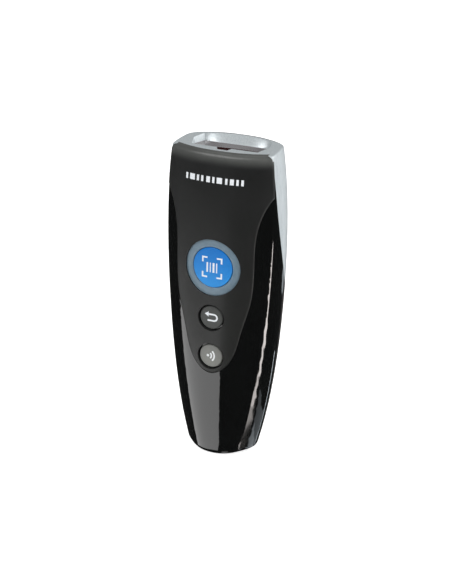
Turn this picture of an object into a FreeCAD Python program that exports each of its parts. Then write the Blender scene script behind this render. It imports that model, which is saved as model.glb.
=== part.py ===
import FreeCAD, Part
import os
import re

import Sketcher
from FreeCAD import Placement, Rotation, Vector

# Pocket wireless barcode scanner.
# +Z runs up the long axis towards the scan window, -Y is the button face, +X is the
# user's right when looking at the buttons. The origin is the centre of the foot.

document = FreeCAD.newDocument("PocketScanner")
sheet = document.addObject("Spreadsheet::Sheet", "Sizes")

# ---------------------------------------------------------------- driving dimensions

SIZES = [
    # outer body; the five stations stand at 0, 1/4, 1/2, 3/4 and 1 of body_length
    ("body_length", 120.0),
    ("foot_lift", 1.5),
    ("side_foot", 14.0),
    ("side_low", 19.9),
    ("side_mid", 22.4),
    ("side_high", 22.75),
    ("side_top", 20.1),
    ("front_foot", 10.7),
    ("front_low", 13.0),
    ("front_mid", 13.7),
    ("front_high", 13.7),
    ("front_top", 11.2),
    ("rear_foot", 8.6),
    ("rear_low", 11.9),
    ("rear_mid", 13.5),
    ("rear_high", 13.85),
    ("rear_top", 12.9),
    ("rear_flat", 13.45),
    ("crown_power", 2.4),
    ("crease_foot_in", 3.35),
    ("crease_power", 1.55),
    ("crease_front", 6.6),
    ("crease_foot_back", 1.0),
    ("rear_corner_in", 1.9),
    ("rear_corner_out", 1.1),
    ("rear_corner_depth", 7.4),
    ("rear_corner_forward", 1.8),
    ("inset_across", 0.9),
    ("inset_along", 0.5),
    ("crease_round", 0.9),
    ("rear_round", 2.5),
    ("foot_dome_radius", 60.0),
    ("foot_round", 2.4),
    ("rim_slope", 0.066),
    ("rim_round", 0.7),
    ("parting_foot", 0.8),
    ("parting_rise", 1.6),
    # walls and skins
    ("wall", 2.4),
    ("wedge_skin", 1.2),
    ("panel_proud", 0.25),
    ("panel_skin", 1.2),
    ("panel_top_skin", 2.8),
    ("panel_edge_round", 0.9),
    ("panel_top_round", 2.2),
    ("panel_corner_round", 1.9),
    ("panel_corner_lift", 0.3),
    ("panel_step", 1.5),
    ("rear_rim_skin", 0.9),
    ("rear_rim_side", 16.8),
    ("cover_skin", 1.5),
    ("grip_count", 5),
    ("grip_pitch", 2.2),
    ("grip_wide", 1.1),
    ("grip_deep", 0.4),
    ("grip_side", 7.0),
    ("grip_foot", 44.0),
    ("label_side", 8.5),
    ("label_foot", 63.0),
    ("label_top", 81.0),
    ("label_deep", 0.3),
    ("label_sink", 0.06),
    ("sound_hole_radius", 0.5),
    ("sound_hole_pitch", 2.4),
    ("sound_hole_height", 111.0),
    ("gap", 0.05),
    # bezel and window
    ("bezel_floor", 115.5),
    ("window_face", 120.2),
    ("recess_side", 15.4),
    ("recess_rear_side", 13.6),
    ("recess_front_side", 13.2),
    ("recess_rear", 8.0),
    ("recess_rear_crown", 3.0),
    ("recess_floor_crown", 0.02),
    ("recess_mid", 2.2),
    ("recess_front", 4.6),
    ("recess_draft", 0.6),
    ("notch_wide", 5.8),
    ("notch_narrow", 4.2),
    ("notch_deep", 2.2),
    ("window_margin", 1.2),
    ("window_thick", 1.6),
    ("gasket_thick", 1.0),
    ("gasket_width", 2.0),
    # keys
    ("trigger_height", 78.2),
    ("trigger_radius", 7.8),
    ("key_round", 0.4),
    ("seam_turn", 45),
    ("ring_lip_round", 0.6),
    ("ring_inner_radius", 7.88),
    ("ring_outer_radius", 11.0),
    ("ring_flange_radius", 12.6),
    ("ring_back", 7.8),
    ("ring_sink", 0.35),
    ("trigger_sink", 0.25),
    ("trigger_flange_radius", 9.4),
    ("trigger_flange_front", 7.7),
    ("trigger_flange_back", 7.0),
    ("trigger_hollow_radius", 6.6),
    ("trigger_hollow_front", 10.6),
    ("undo_height", 58.2),
    ("link_height", 42.5),
    ("key_well_radius", 5.3),
    ("key_hole_radius", 4.75),
    ("key_radius", 4.67),
    ("key_sink", 0.45),
    ("key_flange_radius", 5.7),
    ("key_flange_front", 10.15),
    ("key_flange_back", 9.5),
    ("stem_radius", 1.8),
    ("stem_end", 5.7),
    # main board and what sits on it
    ("board_front", 4.4),
    ("board_thick", 1.0),
    ("board_foot", 4.0),
    ("board_top", 97.0),
    ("board_narrow", 6.8),
    ("board_wide", 13.5),
    ("board_narrow_top", 12.0),
    ("board_wide_from", 42.0),
    ("dome_radius", 2.5),
    ("dome_tall", 0.65),
    ("pad_thick", 0.5),
    ("pad_gap", 0.1),
    ("pad_side", 9.2),
    ("pad_foot", 34.0),
    ("pad_top", 90.0),
    ("collar_inner", 2.7),
    ("collar_outer", 3.7),
    ("trigger_collar_front", 6.2),
    ("key_collar_front", 8.8),
    ("led_long", 1.6),
    ("led_wide", 0.8),
    ("led_tall", 0.7),
    ("led_circle", 9.9),
    ("post_radius", 1.8),
    ("post_hole_radius", 0.82),
    ("post_side", 11.3),
    ("post_low", 50.0),
    ("post_high", 94.5),
    ("post_hole_front", 8.0),
    ("board_screw_head", 1.5),
    ("board_screw_head_tall", 0.9),
    ("board_screw_shank", 0.8),
    ("board_screw_long", 4.0),
    ("processor_left", -9.5),
    ("processor_right", -1.5),
    ("processor_foot", 70.0),
    ("processor_top", 78.0),
    ("processor_tall", 1.2),
    ("memory_left", 2.0),
    ("memory_right", 8.0),
    ("memory_foot", 68.0),
    ("memory_top", 74.0),
    ("memory_tall", 0.9),
    ("charger_left", -3.0),
    ("charger_right", 1.0),
    ("charger_foot", 12.5),
    ("charger_top", 16.5),
    ("charger_tall", 0.8),
    ("radio_left", -6.0),
    ("radio_right", 6.0),
    ("radio_foot", 20.0),
    ("radio_top", 34.0),
    ("radio_tall", 0.8),
    ("shield_left", -5.5),
    ("shield_right", 5.5),
    ("shield_foot", 20.5),
    ("shield_top", 30.0),
    ("shield_tall", 1.2),
    ("antenna_left", -4.0),
    ("antenna_right", 4.0),
    ("antenna_foot", 31.0),
    ("antenna_top", 33.0),
    ("antenna_tall", 0.9),
    ("beeper_x", 5.0),
    ("beeper_z", 82.0),
    # case screws
    ("screw_low_side", 9.5),
    ("screw_low_height", 8.0),
    ("screw_high_side", 16.0),
    ("screw_high_height", 92.0),
    ("boss_radius", 2.2),
    ("boss_sink", 1.0),
    ("boss_hole_front", 5.5),
    ("boss_hole_radius", 1.02),
    ("pillar_radius", 2.4),
    ("pillar_hole_radius", 1.15),
    ("head_radius", 1.75),
    ("head_pocket_radius", 1.85),
    ("head_tall", 1.3),
    ("screw_radius", 1.0),
    ("screw_long", 9.5),
    ("screw_tip", 0.2),
    ("driver_share", 0.45),
    ("driver_deep", 0.5),
    ("low_head_front", 6.0),
    ("high_head_front", 7.2),
    ("plug_gap", 0.1),
    # frame, battery and its cover
    ("frame_front", -0.6),
    ("frame_thick", 0.8),
    ("frame_foot", 13.0),
    ("frame_narrow", 7.6),
    ("frame_wide", 12.0),
    ("bay_wall", 0.5),
    ("bay_side", 8.95),
    ("bay_rear", 5.0),
    ("bay_foot", 14.1),
    ("bay_wall_foot", 18.0),
    ("bay_top", 56.0),
    ("leg_radius", 1.2),
    ("leg_low_side", 9.5),
    ("leg_low", 36.0),
    ("leg_high_side", 11.5),
    ("leg_high", 86.0),
    ("contact_side", 5.0),
    ("contact_rear", 4.0),
    ("contact_tall", 3.0),
    ("contact_gap", 0.2),
    ("pin_radius", 0.5),
    ("pin_pitch", 3.0),
    ("pin_y", 2.5),
    ("battery_wide", 17.6),
    ("battery_front", 0.5),
    ("battery_thick", 6.7),
    ("battery_foot", 17.0),
    ("battery_long", 38.0),
    ("battery_round", 0.8),
    ("cover_split", 7.4),
    ("cover_top", 58.0),
    ("cover_gap", 0.15),
    ("ledge_front", 6.4),
    ("ledge_rear", 7.3),
    ("ledge_side", 10.5),
    ("ledge_foot", 12.5),
    ("ledge_top", 55.6),
    ("ledge_lap_foot", 2.0),
    ("ledge_lap_top", 3.1),
    ("rail_side", 9.75),
    ("rail_wall", 0.6),
    ("rail_foot", 36.5),
    ("rail_long", 13.5),
    ("rail_sink", 0.8),
    ("tongue_front", 5.3),
    ("tongue_rear", 6.2),
    ("tongue_out", 1.5),
    # foot flap and charging socket
    ("flap_side", 6.0),
    ("flap_pivot_y", -5.0),
    ("flap_pivot_z", 1.5),
    ("flap_rear", 0.3),
    ("flap_bead", 1.42),
    ("flap_clear", 0.08),
    ("flap_pin_radius", 0.5),
    ("flap_pin_side", 7.6),
    ("socket_side", 3.9),
    ("socket_front", -3.35),
    ("socket_rear", -0.75),
    ("socket_foot", 2.6),
    ("socket_top", 9.0),
    ("socket_skin", 0.35),
    ("socket_end", 0.8),
    ("socket_clear", 0.3),
    ("tab_side", 1.2),
    ("tab_front", 1.0),
    ("tab_thick", 0.6),
    ("plug_side", 0.7),
    ("plug_front", 0.4),
    ("plug_wide", 1.8),
    ("plug_tall", 0.8),
    # imager
    ("imager_side", 10.0),
    ("imager_front", -3.6),
    ("imager_rear", 7.0),
    ("imager_foot", 99.6),
    ("imager_top", 111.0),
    ("lens_bore", 3.3),
    ("barrel_radius", 3.2),
    ("barrel_hole", 2.5),
    ("barrel_foot", 103.0),
    ("barrel_top", 111.8),
    ("barrel_bevel", 0.3),
    ("lens_thick", 1.0),
    ("lens_y", 1.7),
    ("aimer_x", 6.8),
    ("aimer_radius", 1.3),
    ("sensor_side", 2.6),
    ("sensor_gap", 0.5),
    ("flood_apart", 2.4),
    ("led_lens_long", 6.0),
    ("bracket_gap", 0.1),
    ("bracket_thick", 0.8),
    ("flex_side", 4.0),
    ("flex_foot", 89.0),
    ("flex_thick", 0.3),
    ("flex_step", 1.0),
    ("flex_rear", 2.0),
    # vibration motor and sounder
    ("motor_radius", 3.0),
    ("motor_y", 3.5),
    ("motor_z", 68.0),
    ("motor_left", -10.0),
    ("motor_long", 9.0),
    ("motor_cap", 0.8),
    ("shaft_inset", 1.2),
    ("saddle_inset", 1.0),
    ("saddle_end", 6.0),
    ("saddle_half", 4.0),
    ("shaft_radius", 0.5),
    ("shaft_bore", 0.55),
    ("shaft_right", 3.6),
    ("weight_radius", 2.6),
    ("weight_left", 0.2),
    ("weight_long", 3.0),
    ("weight_flat", 0.7),
    ("beeper_radius", 4.5),
    ("beeper_tall", 2.4),
    ("seal_outer", 1.5),
    ("seal_inner", 2.0),
    ("seal_half", 0.35),
]

for row, (alias, value) in enumerate(SIZES, start=1):
    sheet.set(f"A{row}", alias)
    sheet.set(f"B{row}", str(value))
    sheet.setAlias(f"B{row}", alias)
document.recompute()


def size(alias):
    """The value of one driving dimension, for shapes that are built in code."""
    return float(sheet.get(alias))


ALIASES = {alias for alias, _ in SIZES}


def bound(expression):
    """Point every dimension name in an expression at the sheet."""
    def name_in_sheet(match):
        word = match.group(0)
        return "Sizes." + word if word in ALIASES else word

    return re.sub(r"[a-z_]+", name_in_sheet, expression)


def evaluate(expression):
    return float(sheet.evalExpression(bound(expression)))


REACH = 60.0
nodes = []


def node(label, item):
    """Register a finished sub-part under the name it is written with."""
    item.Label = label
    nodes.append(item)
    return item


# ---------------------------------------------------------------- building blocks

ALONG = {
    "X": Rotation(Vector(0, 1, 0), 90),
    "Y": Rotation(Vector(1, 0, 0), -90),
    "Z": Rotation(),
}


def place(item, at):
    for axis, expression in zip("xyz", at):
        item.setExpression("Placement.Base." + axis, bound(expression))


def box(name, low, high):
    """A block between two corners, each a triple of expressions."""
    item = document.addObject("Part::Box", name)
    for prop, start, stop in zip(("Length", "Width", "Height"), low, high):
        item.setExpression(prop, bound(f"({stop}) - ({start})"))
    place(item, low)
    return item


def rod(name, radius, at, length, along="Y"):
    """A cylinder that starts at a point and runs along a positive axis."""
    item = document.addObject("Part::Cylinder", name)
    item.Placement = Placement(Vector(), ALONG[along])
    item.setExpression("Radius", bound(radius))
    item.setExpression("Height", bound(length))
    place(item, at)
    return item


def tool(name, shape):
    """A shape made in code from sheet sizes, for the curved outer form."""
    item = document.addObject("Part::Feature", name)
    item.Shape = shape
    item.Placement = Placement()
    return item


def fuse(name, items):
    item = document.addObject("Part::MultiFuse", name)
    item.Shapes = items
    return item


def common(name, first, second):
    item = document.addObject("Part::Common", name)
    item.Base = first
    item.Tool = second
    return item


def cut(name, base, tools):
    """Base less every tool."""
    item = document.addObject("Part::Cut", name)
    item.Base = base
    item.Tool = tools[0] if len(tools) == 1 else fuse(name + "_tools", tools)
    return item


def group(name, items):
    """Several separate solids kept as one node."""
    item = document.addObject("Part::Compound", name)
    item.Links = items
    return item


def origin_plane(body, role):
    return next(part for part in body.Origin.OriginFeatures if part.Role == role)


def sketch_on(body, role, name):
    sketch = body.newObject("Sketcher::SketchObject", name)
    sketch.AttachmentSupport = [(origin_plane(body, role), "")]
    sketch.MapMode = "FlatFace"
    return sketch


def fix_point(sketch, geometry, corner, along_expr, across_expr):
    """Dimension one sketch point from the sketch origin in both directions."""
    for kind, expression in (("DistanceX", along_expr), ("DistanceY", across_expr)):
        value = evaluate(expression)
        number = sketch.addConstraint(Sketcher.Constraint(kind, geometry, corner, value))
        sketch.setExpression(f"Constraints[{number}]", bound(expression))


def draw_polygon(sketch, points):
    count = len(points)
    spots = [Vector(evaluate(a), evaluate(b), 0) for a, b in points]
    for index in range(count):
        sketch.addGeometry(Part.LineSegment(spots[index], spots[(index + 1) % count]), False)
    for index in range(count):
        sketch.addConstraint(Sketcher.Constraint("Coincident", index, 2, (index + 1) % count, 1))
    for index, (a, b) in enumerate(points):
        fix_point(sketch, index, 1, a, b)


def draw_circle(sketch, along, across, radius):
    spot = Vector(evaluate(along), evaluate(across), 0)
    number = sketch.addGeometry(Part.Circle(spot, Vector(0, 0, 1), evaluate(radius)), False)
    fix_point(sketch, number, 3, along, across)
    held = sketch.addConstraint(Sketcher.Constraint("Radius", number, evaluate(radius)))
    sketch.setExpression(f"Constraints[{held}]", bound(radius))


def plate(name, outline, circles, front, thick):
    """A flat plate parallel to the button face: outline in X and Z, with round holes."""
    body = document.addObject("PartDesign::Body", name)
    sketch = sketch_on(body, "XZ_Plane", name + "_outline")
    draw_polygon(sketch, outline)
    document.recompute()
    pad = body.newObject("PartDesign::Pad", name + "_pad")
    pad.Profile = sketch
    pad.Reversed = True
    pad.setExpression("Length", bound(thick))
    document.recompute()
    if circles:
        holes = sketch_on(body, "XZ_Plane", name + "_holes")
        for along, across, radius in circles:
            draw_circle(holes, along, across, radius)
        document.recompute()
        pocket = body.newObject("PartDesign::Pocket", name + "_pocket")
        pocket.Profile = holes
        pocket.Type = "ThroughAll"
        pocket.Midplane = True
        document.recompute()
    body.setExpression("Placement.Base.y", bound(front))
    return body


def turned(name, profile, along="Y"):
    """A turned piece: profile points (distance along the axis, radius), spun once."""
    body = document.addObject("PartDesign::Body", name)
    sketch = sketch_on(body, "XY_Plane", name + "_profile")
    draw_polygon(sketch, profile)
    document.recompute()
    spin = body.newObject("PartDesign::Revolution", name + "_spin")
    spin.Profile = sketch
    spin.ReferenceAxis = (sketch, ["H_Axis"])
    spin.Angle = 360
    turn = {"X": Rotation(), "Y": Rotation(Vector(0, 0, 1), 90), "Z": Rotation(Vector(0, 1, 0), -90)}
    body.Placement = Placement(Vector(), turn[along])
    document.recompute()
    return body


# ---------------------------------------------------------------- outer form

STATIONS = [size("body_length") * quarter / 4 for quarter in range(5)]
CROWN_POINTS = 9
SIDE_POINTS = 5
SECTIONS = 9


def through_stations(prefix, height):
    """The smooth curve through a dimension's five station values."""
    values = [size(prefix + "_" + place_name) for place_name in ("foot", "low", "mid", "high", "top")]
    total = 0.0
    for here, value in zip(STATIONS, values):
        for other in STATIONS:
            if other != here:
                value *= (height - other) / (here - other)
        total += value
    return total


def section(z, inset):
    """Corner and crest positions of the body section at one height."""
    height = z - size("foot_lift")
    share = height / size("body_length")
    side = through_stations("side", height)
    crease = side - size("crease_foot_in") * (1 - max(share, 0.0) ** size("crease_power"))
    rear_corner = side - size("rear_corner_in") + size("rear_corner_out") * share
    foot_turn = (1 - share) ** 3
    across = size("inset_across") * inset
    along = size("inset_along") * inset
    return {
        "crease_x": crease - across,
        "crease_y": size("crease_foot_back") * foot_turn - size("crease_front") + along,
        "front_y": inset - through_stations("front", height),
        "side_x": side - inset,
        "side_y": size("parting_foot") + size("parting_rise") * share,
        "rear_x": rear_corner - across,
        "rear_y": size("rear_corner_depth") - size("rear_corner_forward") * foot_turn - along,
        "back_y": through_stations("rear", height) - inset,
    }


def spline(points):
    curve = Part.BSplineCurve()
    curve.interpolate(points)
    return curve.toShape()


def corner_curve(start, corner, end):
    curve = Part.BezierCurve()
    curve.setPoles([start, corner, end])
    return curve.toShape()


def crown_points(half, edge_y, crest_y, z, trim):
    """Points over the crowned front or rear, from left to right."""
    reach = 1 - trim / half
    points = []
    for index in range(CROWN_POINTS):
        across = reach * (2 * index / (CROWN_POINTS - 1) - 1)
        rise = 1 - abs(across) ** size("crown_power")
        points.append(Vector(across * half, edge_y + (crest_y - edge_y) * rise, z))
    return points


def side_points(mark, z, hand):
    """Points down one bulging side, from the front crease to the rear corner."""
    near = (mark["crease_y"], mark["crease_x"])
    middle = (mark["side_y"], mark["side_x"])
    far = (mark["rear_y"], mark["rear_x"])
    start = near[0] + size("crease_round")
    stop = far[0] - size("rear_round")
    points = []
    for index in range(SIDE_POINTS):
        y = start + (stop - start) * index / (SIDE_POINTS - 1)
        x = 0.0
        for own, first, second in ((near, middle, far), (middle, near, far), (far, near, middle)):
            x += own[1] * (y - first[0]) * (y - second[0]) / ((own[0] - first[0]) * (own[0] - second[0]))
        points.append(Vector(hand * x, y, z))
    return points


def section_wire(z, inset):
    mark = section(z, inset)
    front = crown_points(mark["crease_x"], mark["crease_y"], mark["front_y"], z, size("crease_round"))
    back = crown_points(mark["rear_x"], mark["rear_y"], mark["back_y"], z, size("rear_round"))
    right = side_points(mark, z, 1)
    left = side_points(mark, z, -1)
    return Part.Wire([
        spline(front),
        corner_curve(front[-1], Vector(mark["crease_x"], mark["crease_y"], z), right[0]),
        spline(right),
        corner_curve(right[-1], Vector(mark["rear_x"], mark["rear_y"], z), back[-1]),
        spline(back[::-1]),
        corner_curve(back[0], Vector(-mark["rear_x"], mark["rear_y"], z), left[-1]),
        spline(left[::-1]),
        corner_curve(left[0], Vector(-mark["crease_x"], mark["crease_y"], z), front[0]),
    ])


def heights(low, high):
    return [low + (high - low) * index / (SECTIONS - 1) for index in range(SECTIONS)]


LOFT_LOW = -1.0
LOFT_HIGH = 125.0


def form(inset, low=LOFT_LOW, high=LOFT_HIGH):
    """The body's outer form, moved inwards by an inset."""
    return Part.makeLoft([section_wire(z, inset) for z in heights(low, high)], True, False)


def front_slab(proud, deep):
    """A skin that follows the crowned front, from proud of it to deep behind it."""
    wires = []
    for z in heights(LOFT_LOW, LOFT_HIGH):
        mark = section(z, 0.0)
        face = crown_points(mark["crease_x"], mark["crease_y"], mark["front_y"], z, 0.0)
        outer = [point - Vector(0, proud, 0) for point in face]
        inner = [point + Vector(0, deep, 0) for point in face]
        wires.append(Part.Wire([
            spline(outer),
            Part.makeLine(outer[-1], inner[-1]),
            spline(inner[::-1]),
            Part.makeLine(inner[0], outer[0]),
        ]))
    return Part.makeLoft(wires, True, False)


REAR_SLAB_WIDER = 1.0
REAR_SLAB_DEEPER = 0.6
OUTSIDE = 2.0


def rear_slab(deep):
    """A skin that follows the crowned rear, from outside it to deep inside it."""
    wires = []
    for z in heights(LOFT_LOW, LOFT_HIGH):
        mark = section(z, 0.0)
        face = crown_points(
            mark["rear_x"] + REAR_SLAB_WIDER, mark["rear_y"] - REAR_SLAB_DEEPER, mark["back_y"], z, 0.0)
        outer = [point + Vector(0, OUTSIDE, 0) for point in face]
        inner = [point - Vector(0, deep, 0) for point in face]
        wires.append(Part.Wire([
            spline(outer),
            Part.makeLine(outer[-1], inner[-1]),
            spline(inner[::-1]),
            Part.makeLine(inner[0], outer[0]),
        ]))
    return Part.makeLoft(wires, True, False)


def side_view_prism(points, half=REACH):
    """A closed outline in Y and Z, swept across the whole width."""
    wire = Part.makePolygon([Vector(-half, y, z) for y, z in points + points[:1]])
    return Part.Face(wire).extrude(Vector(2 * half, 0, 0))


def front_view_prism(wire, start=-REACH, length=2 * REACH):
    prism = Part.Face(wire).extrude(Vector(0, length, 0))
    prism.translate(Vector(0, start, 0))
    return prism


FAR_FRONT = -20.0
FAR_REAR = 20.0
BELOW = -10.0
ABOVE = 130.0
UNDER_FOOT = -5.0
DOME_HALF = 20.0


def y_rod(x, z, radius, start, stop):
    return Part.makeCylinder(radius, stop - start, Vector(x, start, z), Vector(0, 1, 0))


def rim_height(y):
    """Height of the sloping top rim at a depth."""
    top = size("body_length") + size("foot_lift")
    return top + (y + size("front_top")) * size("rim_slope")


def parting_y(z):
    share = (z - size("foot_lift")) / size("body_length")
    return size("parting_foot") + size("parting_rise") * share


def foot_wire():
    """Front view envelope: a shallow dome under the foot, open above."""
    half = DOME_HALF
    rise = half ** 2 / (2 * size("foot_dome_radius"))
    dome = Part.Arc(Vector(-half, 0, rise), Vector(0, 0, 0), Vector(half, 0, rise)).toShape()
    rest = Part.makePolygon([
        Vector(half, 0, rise),
        Vector(REACH, 0, rise),
        Vector(REACH, 0, ABOVE),
        Vector(-REACH, 0, ABOVE),
        Vector(-REACH, 0, rise),
        Vector(-half, 0, rise),
    ])
    return Part.Wire([dome] + rest.Edges)


def outer_shape():
    """The whole closed body, trimmed by the foot dome, the sloping rim and the rear flat."""
    flat = size("rear_flat")
    rim = side_view_prism([
        (-REACH, BELOW), (flat, BELOW), (flat, rim_height(flat)), (-REACH, rim_height(-REACH)),
    ])
    body = form(0.0).common(front_view_prism(foot_wire())).common(rim)
    under = [edge for edge in body.Edges if edge.BoundBox.ZMax < size("board_foot")]
    body = body.makeFillet(size("foot_round"), under)
    around_rim = [edge for edge in body.Edges if edge.BoundBox.ZMin > size("body_length") - OUTSIDE]
    return body.makeFillet(size("rim_round"), around_rim)


def slab_between(low, high):
    return side_view_prism([(-REACH, low), (REACH, low), (REACH, high), (-REACH, high)])


outer = outer_shape()
cavity = form(size("wall")).common(slab_between(size("wall"), ABOVE))
below_bezel = slab_between(BELOW, size("bezel_floor"))
above_bezel = slab_between(size("bezel_floor"), ABOVE)
ahead_of_parting = side_view_prism([
    (-REACH, BELOW), (parting_y(BELOW), BELOW), (parting_y(ABOVE), ABOVE), (-REACH, ABOVE),
])
behind_parting = side_view_prism([
    (parting_y(BELOW), BELOW), (REACH, BELOW), (REACH, ABOVE), (parting_y(ABOVE), ABOVE),
])


# depth and height of points on the wedge's two edges, both from the tip up
WEDGE_FRONT_EDGE = [(3.6, 70.0), (-1.6, 85.5), (-5.2, 104.0), (-6.6, 123.0)]
WEDGE_REAR_EDGE = [(3.6, 70.0), (6.3, 83.0), (7.3, 106.0), (7.4, 124.0)]


def wedge_prism():
    """Side view outline of the silver wedge, pointed at the bottom and open at the top."""
    front_points = [Vector(0, y, z) for y, z in WEDGE_FRONT_EDGE]
    rear_points = [Vector(0, y, z) for y, z in reversed(WEDGE_REAR_EDGE)]
    front = spline(front_points)
    rear = spline(rear_points)
    top = Part.makeLine(front_points[-1], rear_points[0])
    prism = Part.Face(Part.Wire([front, top, rear])).extrude(Vector(2 * REACH, 0, 0))
    prism.translate(Vector(-REACH, 0, 0))
    return prism


# half width and height of points down one side of the soft panel, from the chin to the shoulder
PANEL_CHIN_HEIGHT = 35.5
PANEL_SIDE = [
    (6.4, 39.3), (11.3, 52.2), (14.8, 66.0), (15.7, 80.0), (16.6, 94.5), (18.9, 101.8), (24.0, 109.5),
]


def panel_wire():
    """Front view outline of the soft panel: round chin, waisted sides, open at the top."""
    right = [Vector(x, 0, z) for x, z in PANEL_SIDE]
    left = [Vector(-x, 0, z) for x, z in reversed(PANEL_SIDE)]
    curve = spline(left + [Vector(0, 0, PANEL_CHIN_HEIGHT)] + right)
    shoulder = right[-1].x
    frame = Part.makePolygon([
        right[-1], Vector(shoulder, 0, ABOVE), Vector(-shoulder, 0, ABOVE), left[0],
    ])
    return Part.Wire([curve] + frame.Edges)


panel_prism = front_view_prism(panel_wire())
rim_prism = side_view_prism([
    (-REACH, BELOW), (REACH, BELOW), (REACH, rim_height(REACH)), (-REACH, rim_height(-REACH)),
])


def panel_blank():
    """The panel's whole volume, thicker behind its rolled top edge."""
    thick = front_slab(size("panel_proud"), size("panel_top_skin"))
    behind = front_slab(-size("panel_skin"), size("panel_top_skin") + OUTSIDE)
    behind = behind.common(slab_between(BELOW, size("bezel_floor") - size("panel_step")))
    return thick.cut(behind).common(panel_prism).common(rim_prism)


def panel_corners():
    """What rounding takes off the panel's two top corners, seen from the front."""
    round_off = size("panel_corner_round")
    edge_x = section(rim_height(0.0), 0.0)["crease_x"]
    centre_x = edge_x - round_off
    centre_z = rim_height(-size("front_top")) + size("panel_corner_lift") - round_off
    tools = []
    for hand in (-1, 1):
        left = centre_x if hand > 0 else -centre_x - 2 * round_off
        block = Part.makeBox(2 * round_off, -FAR_FRONT, 2 * round_off, Vector(left, FAR_FRONT, centre_z))
        tools.append(block.cut(y_rod(hand * centre_x, centre_z, round_off, FAR_FRONT, 0.0)))
    return tools[0].fuse(tools[1])


panel_whole = panel_blank()
panel_volume = panel_whole.cut(panel_corners())


# ---------------------------------------------------------------- casing

def panel_front_face(panel):
    """The panel's largest face on the button side."""
    ahead = [face for face in panel.Faces if face.CenterOfMass.y < -size("rear_foot")]
    return max(ahead, key=lambda face: face.Area)


def front_panel_shape():
    """Soft-touch front panel with its three round openings and softened edges."""
    panel = panel_whole
    front = panel_front_face(panel)
    behind_crest = size("panel_top_skin") - size("front_top") - size("panel_proud")
    top = [edge for edge in front.Edges
           if edge.CenterOfMass.z > size("body_length") and edge.CenterOfMass.y < behind_crest]
    panel = panel.makeFillet(size("panel_top_round"), top)
    shoulder = size("body_length") - OUTSIDE
    sides = [edge for edge in panel_front_face(panel).Edges if edge.CenterOfMass.z < shoulder]
    panel = panel.makeFillet(size("panel_edge_round"), sides)
    holes = [y_rod(0, size("trigger_height"), size("ring_outer_radius") + size("gap"), FAR_FRONT, 0)]
    for key in ("undo_height", "link_height"):
        holes.append(y_rod(0, size(key), size("key_well_radius"), FAR_FRONT, 0))
    for hole in holes + [panel_corners()]:
        panel = panel.cut(hole)
    return panel


def wedge_volume():
    return outer.cut(form(size("wedge_skin"))).common(wedge_prism())


wedge = wedge_volume()


def rear_rim_volume():
    """Thin rear rim behind the bezel, ended square before the corners."""
    half = size("rear_rim_side")
    width = Part.makeBox(2 * half, REACH, REACH, Vector(-half, 0.0, size("bezel_floor")))
    return outer.common(rear_slab(size("rear_rim_skin"))).common(width)


rear_rim = rear_rim_volume()


def bosses(reach_to):
    """Blanks for the four case screw bosses, reaching back to a depth rule."""
    spots = []
    for hand in (-1, 1):
        spots.append((hand * size("screw_low_side"), size("screw_low_height")))
        spots.append((hand * size("screw_high_side"), size("screw_high_height")))
    return [(x, z, reach_to(z)) for x, z in spots]


def flap_recess():
    """Space in the foot for the charging flap, its round bead and its pin ends."""
    side = size("flap_side") + size("gap")
    pivot_y = size("flap_pivot_y")
    pivot_z = size("flap_pivot_z")
    plate_space = Part.makeBox(
        2 * side, size("flap_rear") + size("gap") - pivot_y, pivot_z - UNDER_FOOT + size("gap"),
        Vector(-side, pivot_y, UNDER_FOOT))
    bead = Part.makeCylinder(
        size("flap_bead") + size("flap_clear"), 2 * side, Vector(-side, pivot_y, pivot_z), Vector(1, 0, 0))
    under_bead = Part.makeBox(
        2 * side, size("flap_bead") + size("flap_clear"), pivot_z - UNDER_FOOT,
        Vector(-side, pivot_y - size("flap_bead") - size("flap_clear"), UNDER_FOOT))
    pin_side = size("flap_pin_side") + size("gap")
    pin = Part.makeCylinder(
        size("flap_pin_radius") + size("gap"), 2 * pin_side, Vector(-pin_side, pivot_y, pivot_z),
        Vector(1, 0, 0))
    return plate_space.fuse([bead, under_bead, pin])


def socket_opening():
    clear = size("socket_clear")
    return Part.makeBox(
        2 * (size("socket_side") + clear),
        size("socket_rear") - size("socket_front") + 2 * clear,
        size("wall") - UNDER_FOOT,
        Vector(-size("socket_side") - clear, size("socket_front") - clear, LOFT_LOW))


def seal_volume():
    """Cord seal that runs round the parting line inside the wall."""
    ring = form(size("seal_outer")).cut(form(size("seal_inner")))
    half = size("seal_half")
    low = size("board_foot")
    high = size("bezel_floor") - size("panel_step")
    band = side_view_prism([
        (parting_y(low) - half, low), (parting_y(low) + half, low),
        (parting_y(high) + half, high), (parting_y(high) - half, high),
    ])
    return ring.common(band)


seal = seal_volume()


def front_shell_shape():
    """Glossy front half: crowned shell with key openings, bosses and board posts."""
    shell = outer.cut(cavity).common(ahead_of_parting).common(below_bezel)
    for x, z, depth in bosses(parting_y):
        blank = y_rod(x, z, size("boss_radius"), FAR_FRONT, depth)
        shell = shell.fuse(blank.common(form(size("boss_sink"))))
    for hand in (-1, 1):
        for z in (size("post_low"), size("post_high")):
            blank = y_rod(hand * size("post_side"), z, size("post_radius"), FAR_FRONT, -size("board_front"))
            shell = shell.fuse(blank.common(form(size("boss_sink"))))
    tools = [panel_volume, wedge, seal, flap_recess(), socket_opening()]
    tools.append(y_rod(0, size("trigger_height"), size("ring_outer_radius") + size("gap"), FAR_FRONT, 0))
    for key in ("undo_height", "link_height"):
        tools.append(y_rod(0, size(key), size("key_hole_radius"), FAR_FRONT, 0))
    for x, z, depth in bosses(parting_y):
        tools.append(y_rod(x, z, size("boss_hole_radius"), -size("boss_hole_front"), depth))
    for hand in (-1, 1):
        for z in (size("post_low"), size("post_high")):
            tools.append(y_rod(
                hand * size("post_side"), z, size("post_hole_radius"), -size("post_hole_front"), 0))
    for item in tools:
        shell = shell.cut(item)
    return shell


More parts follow.
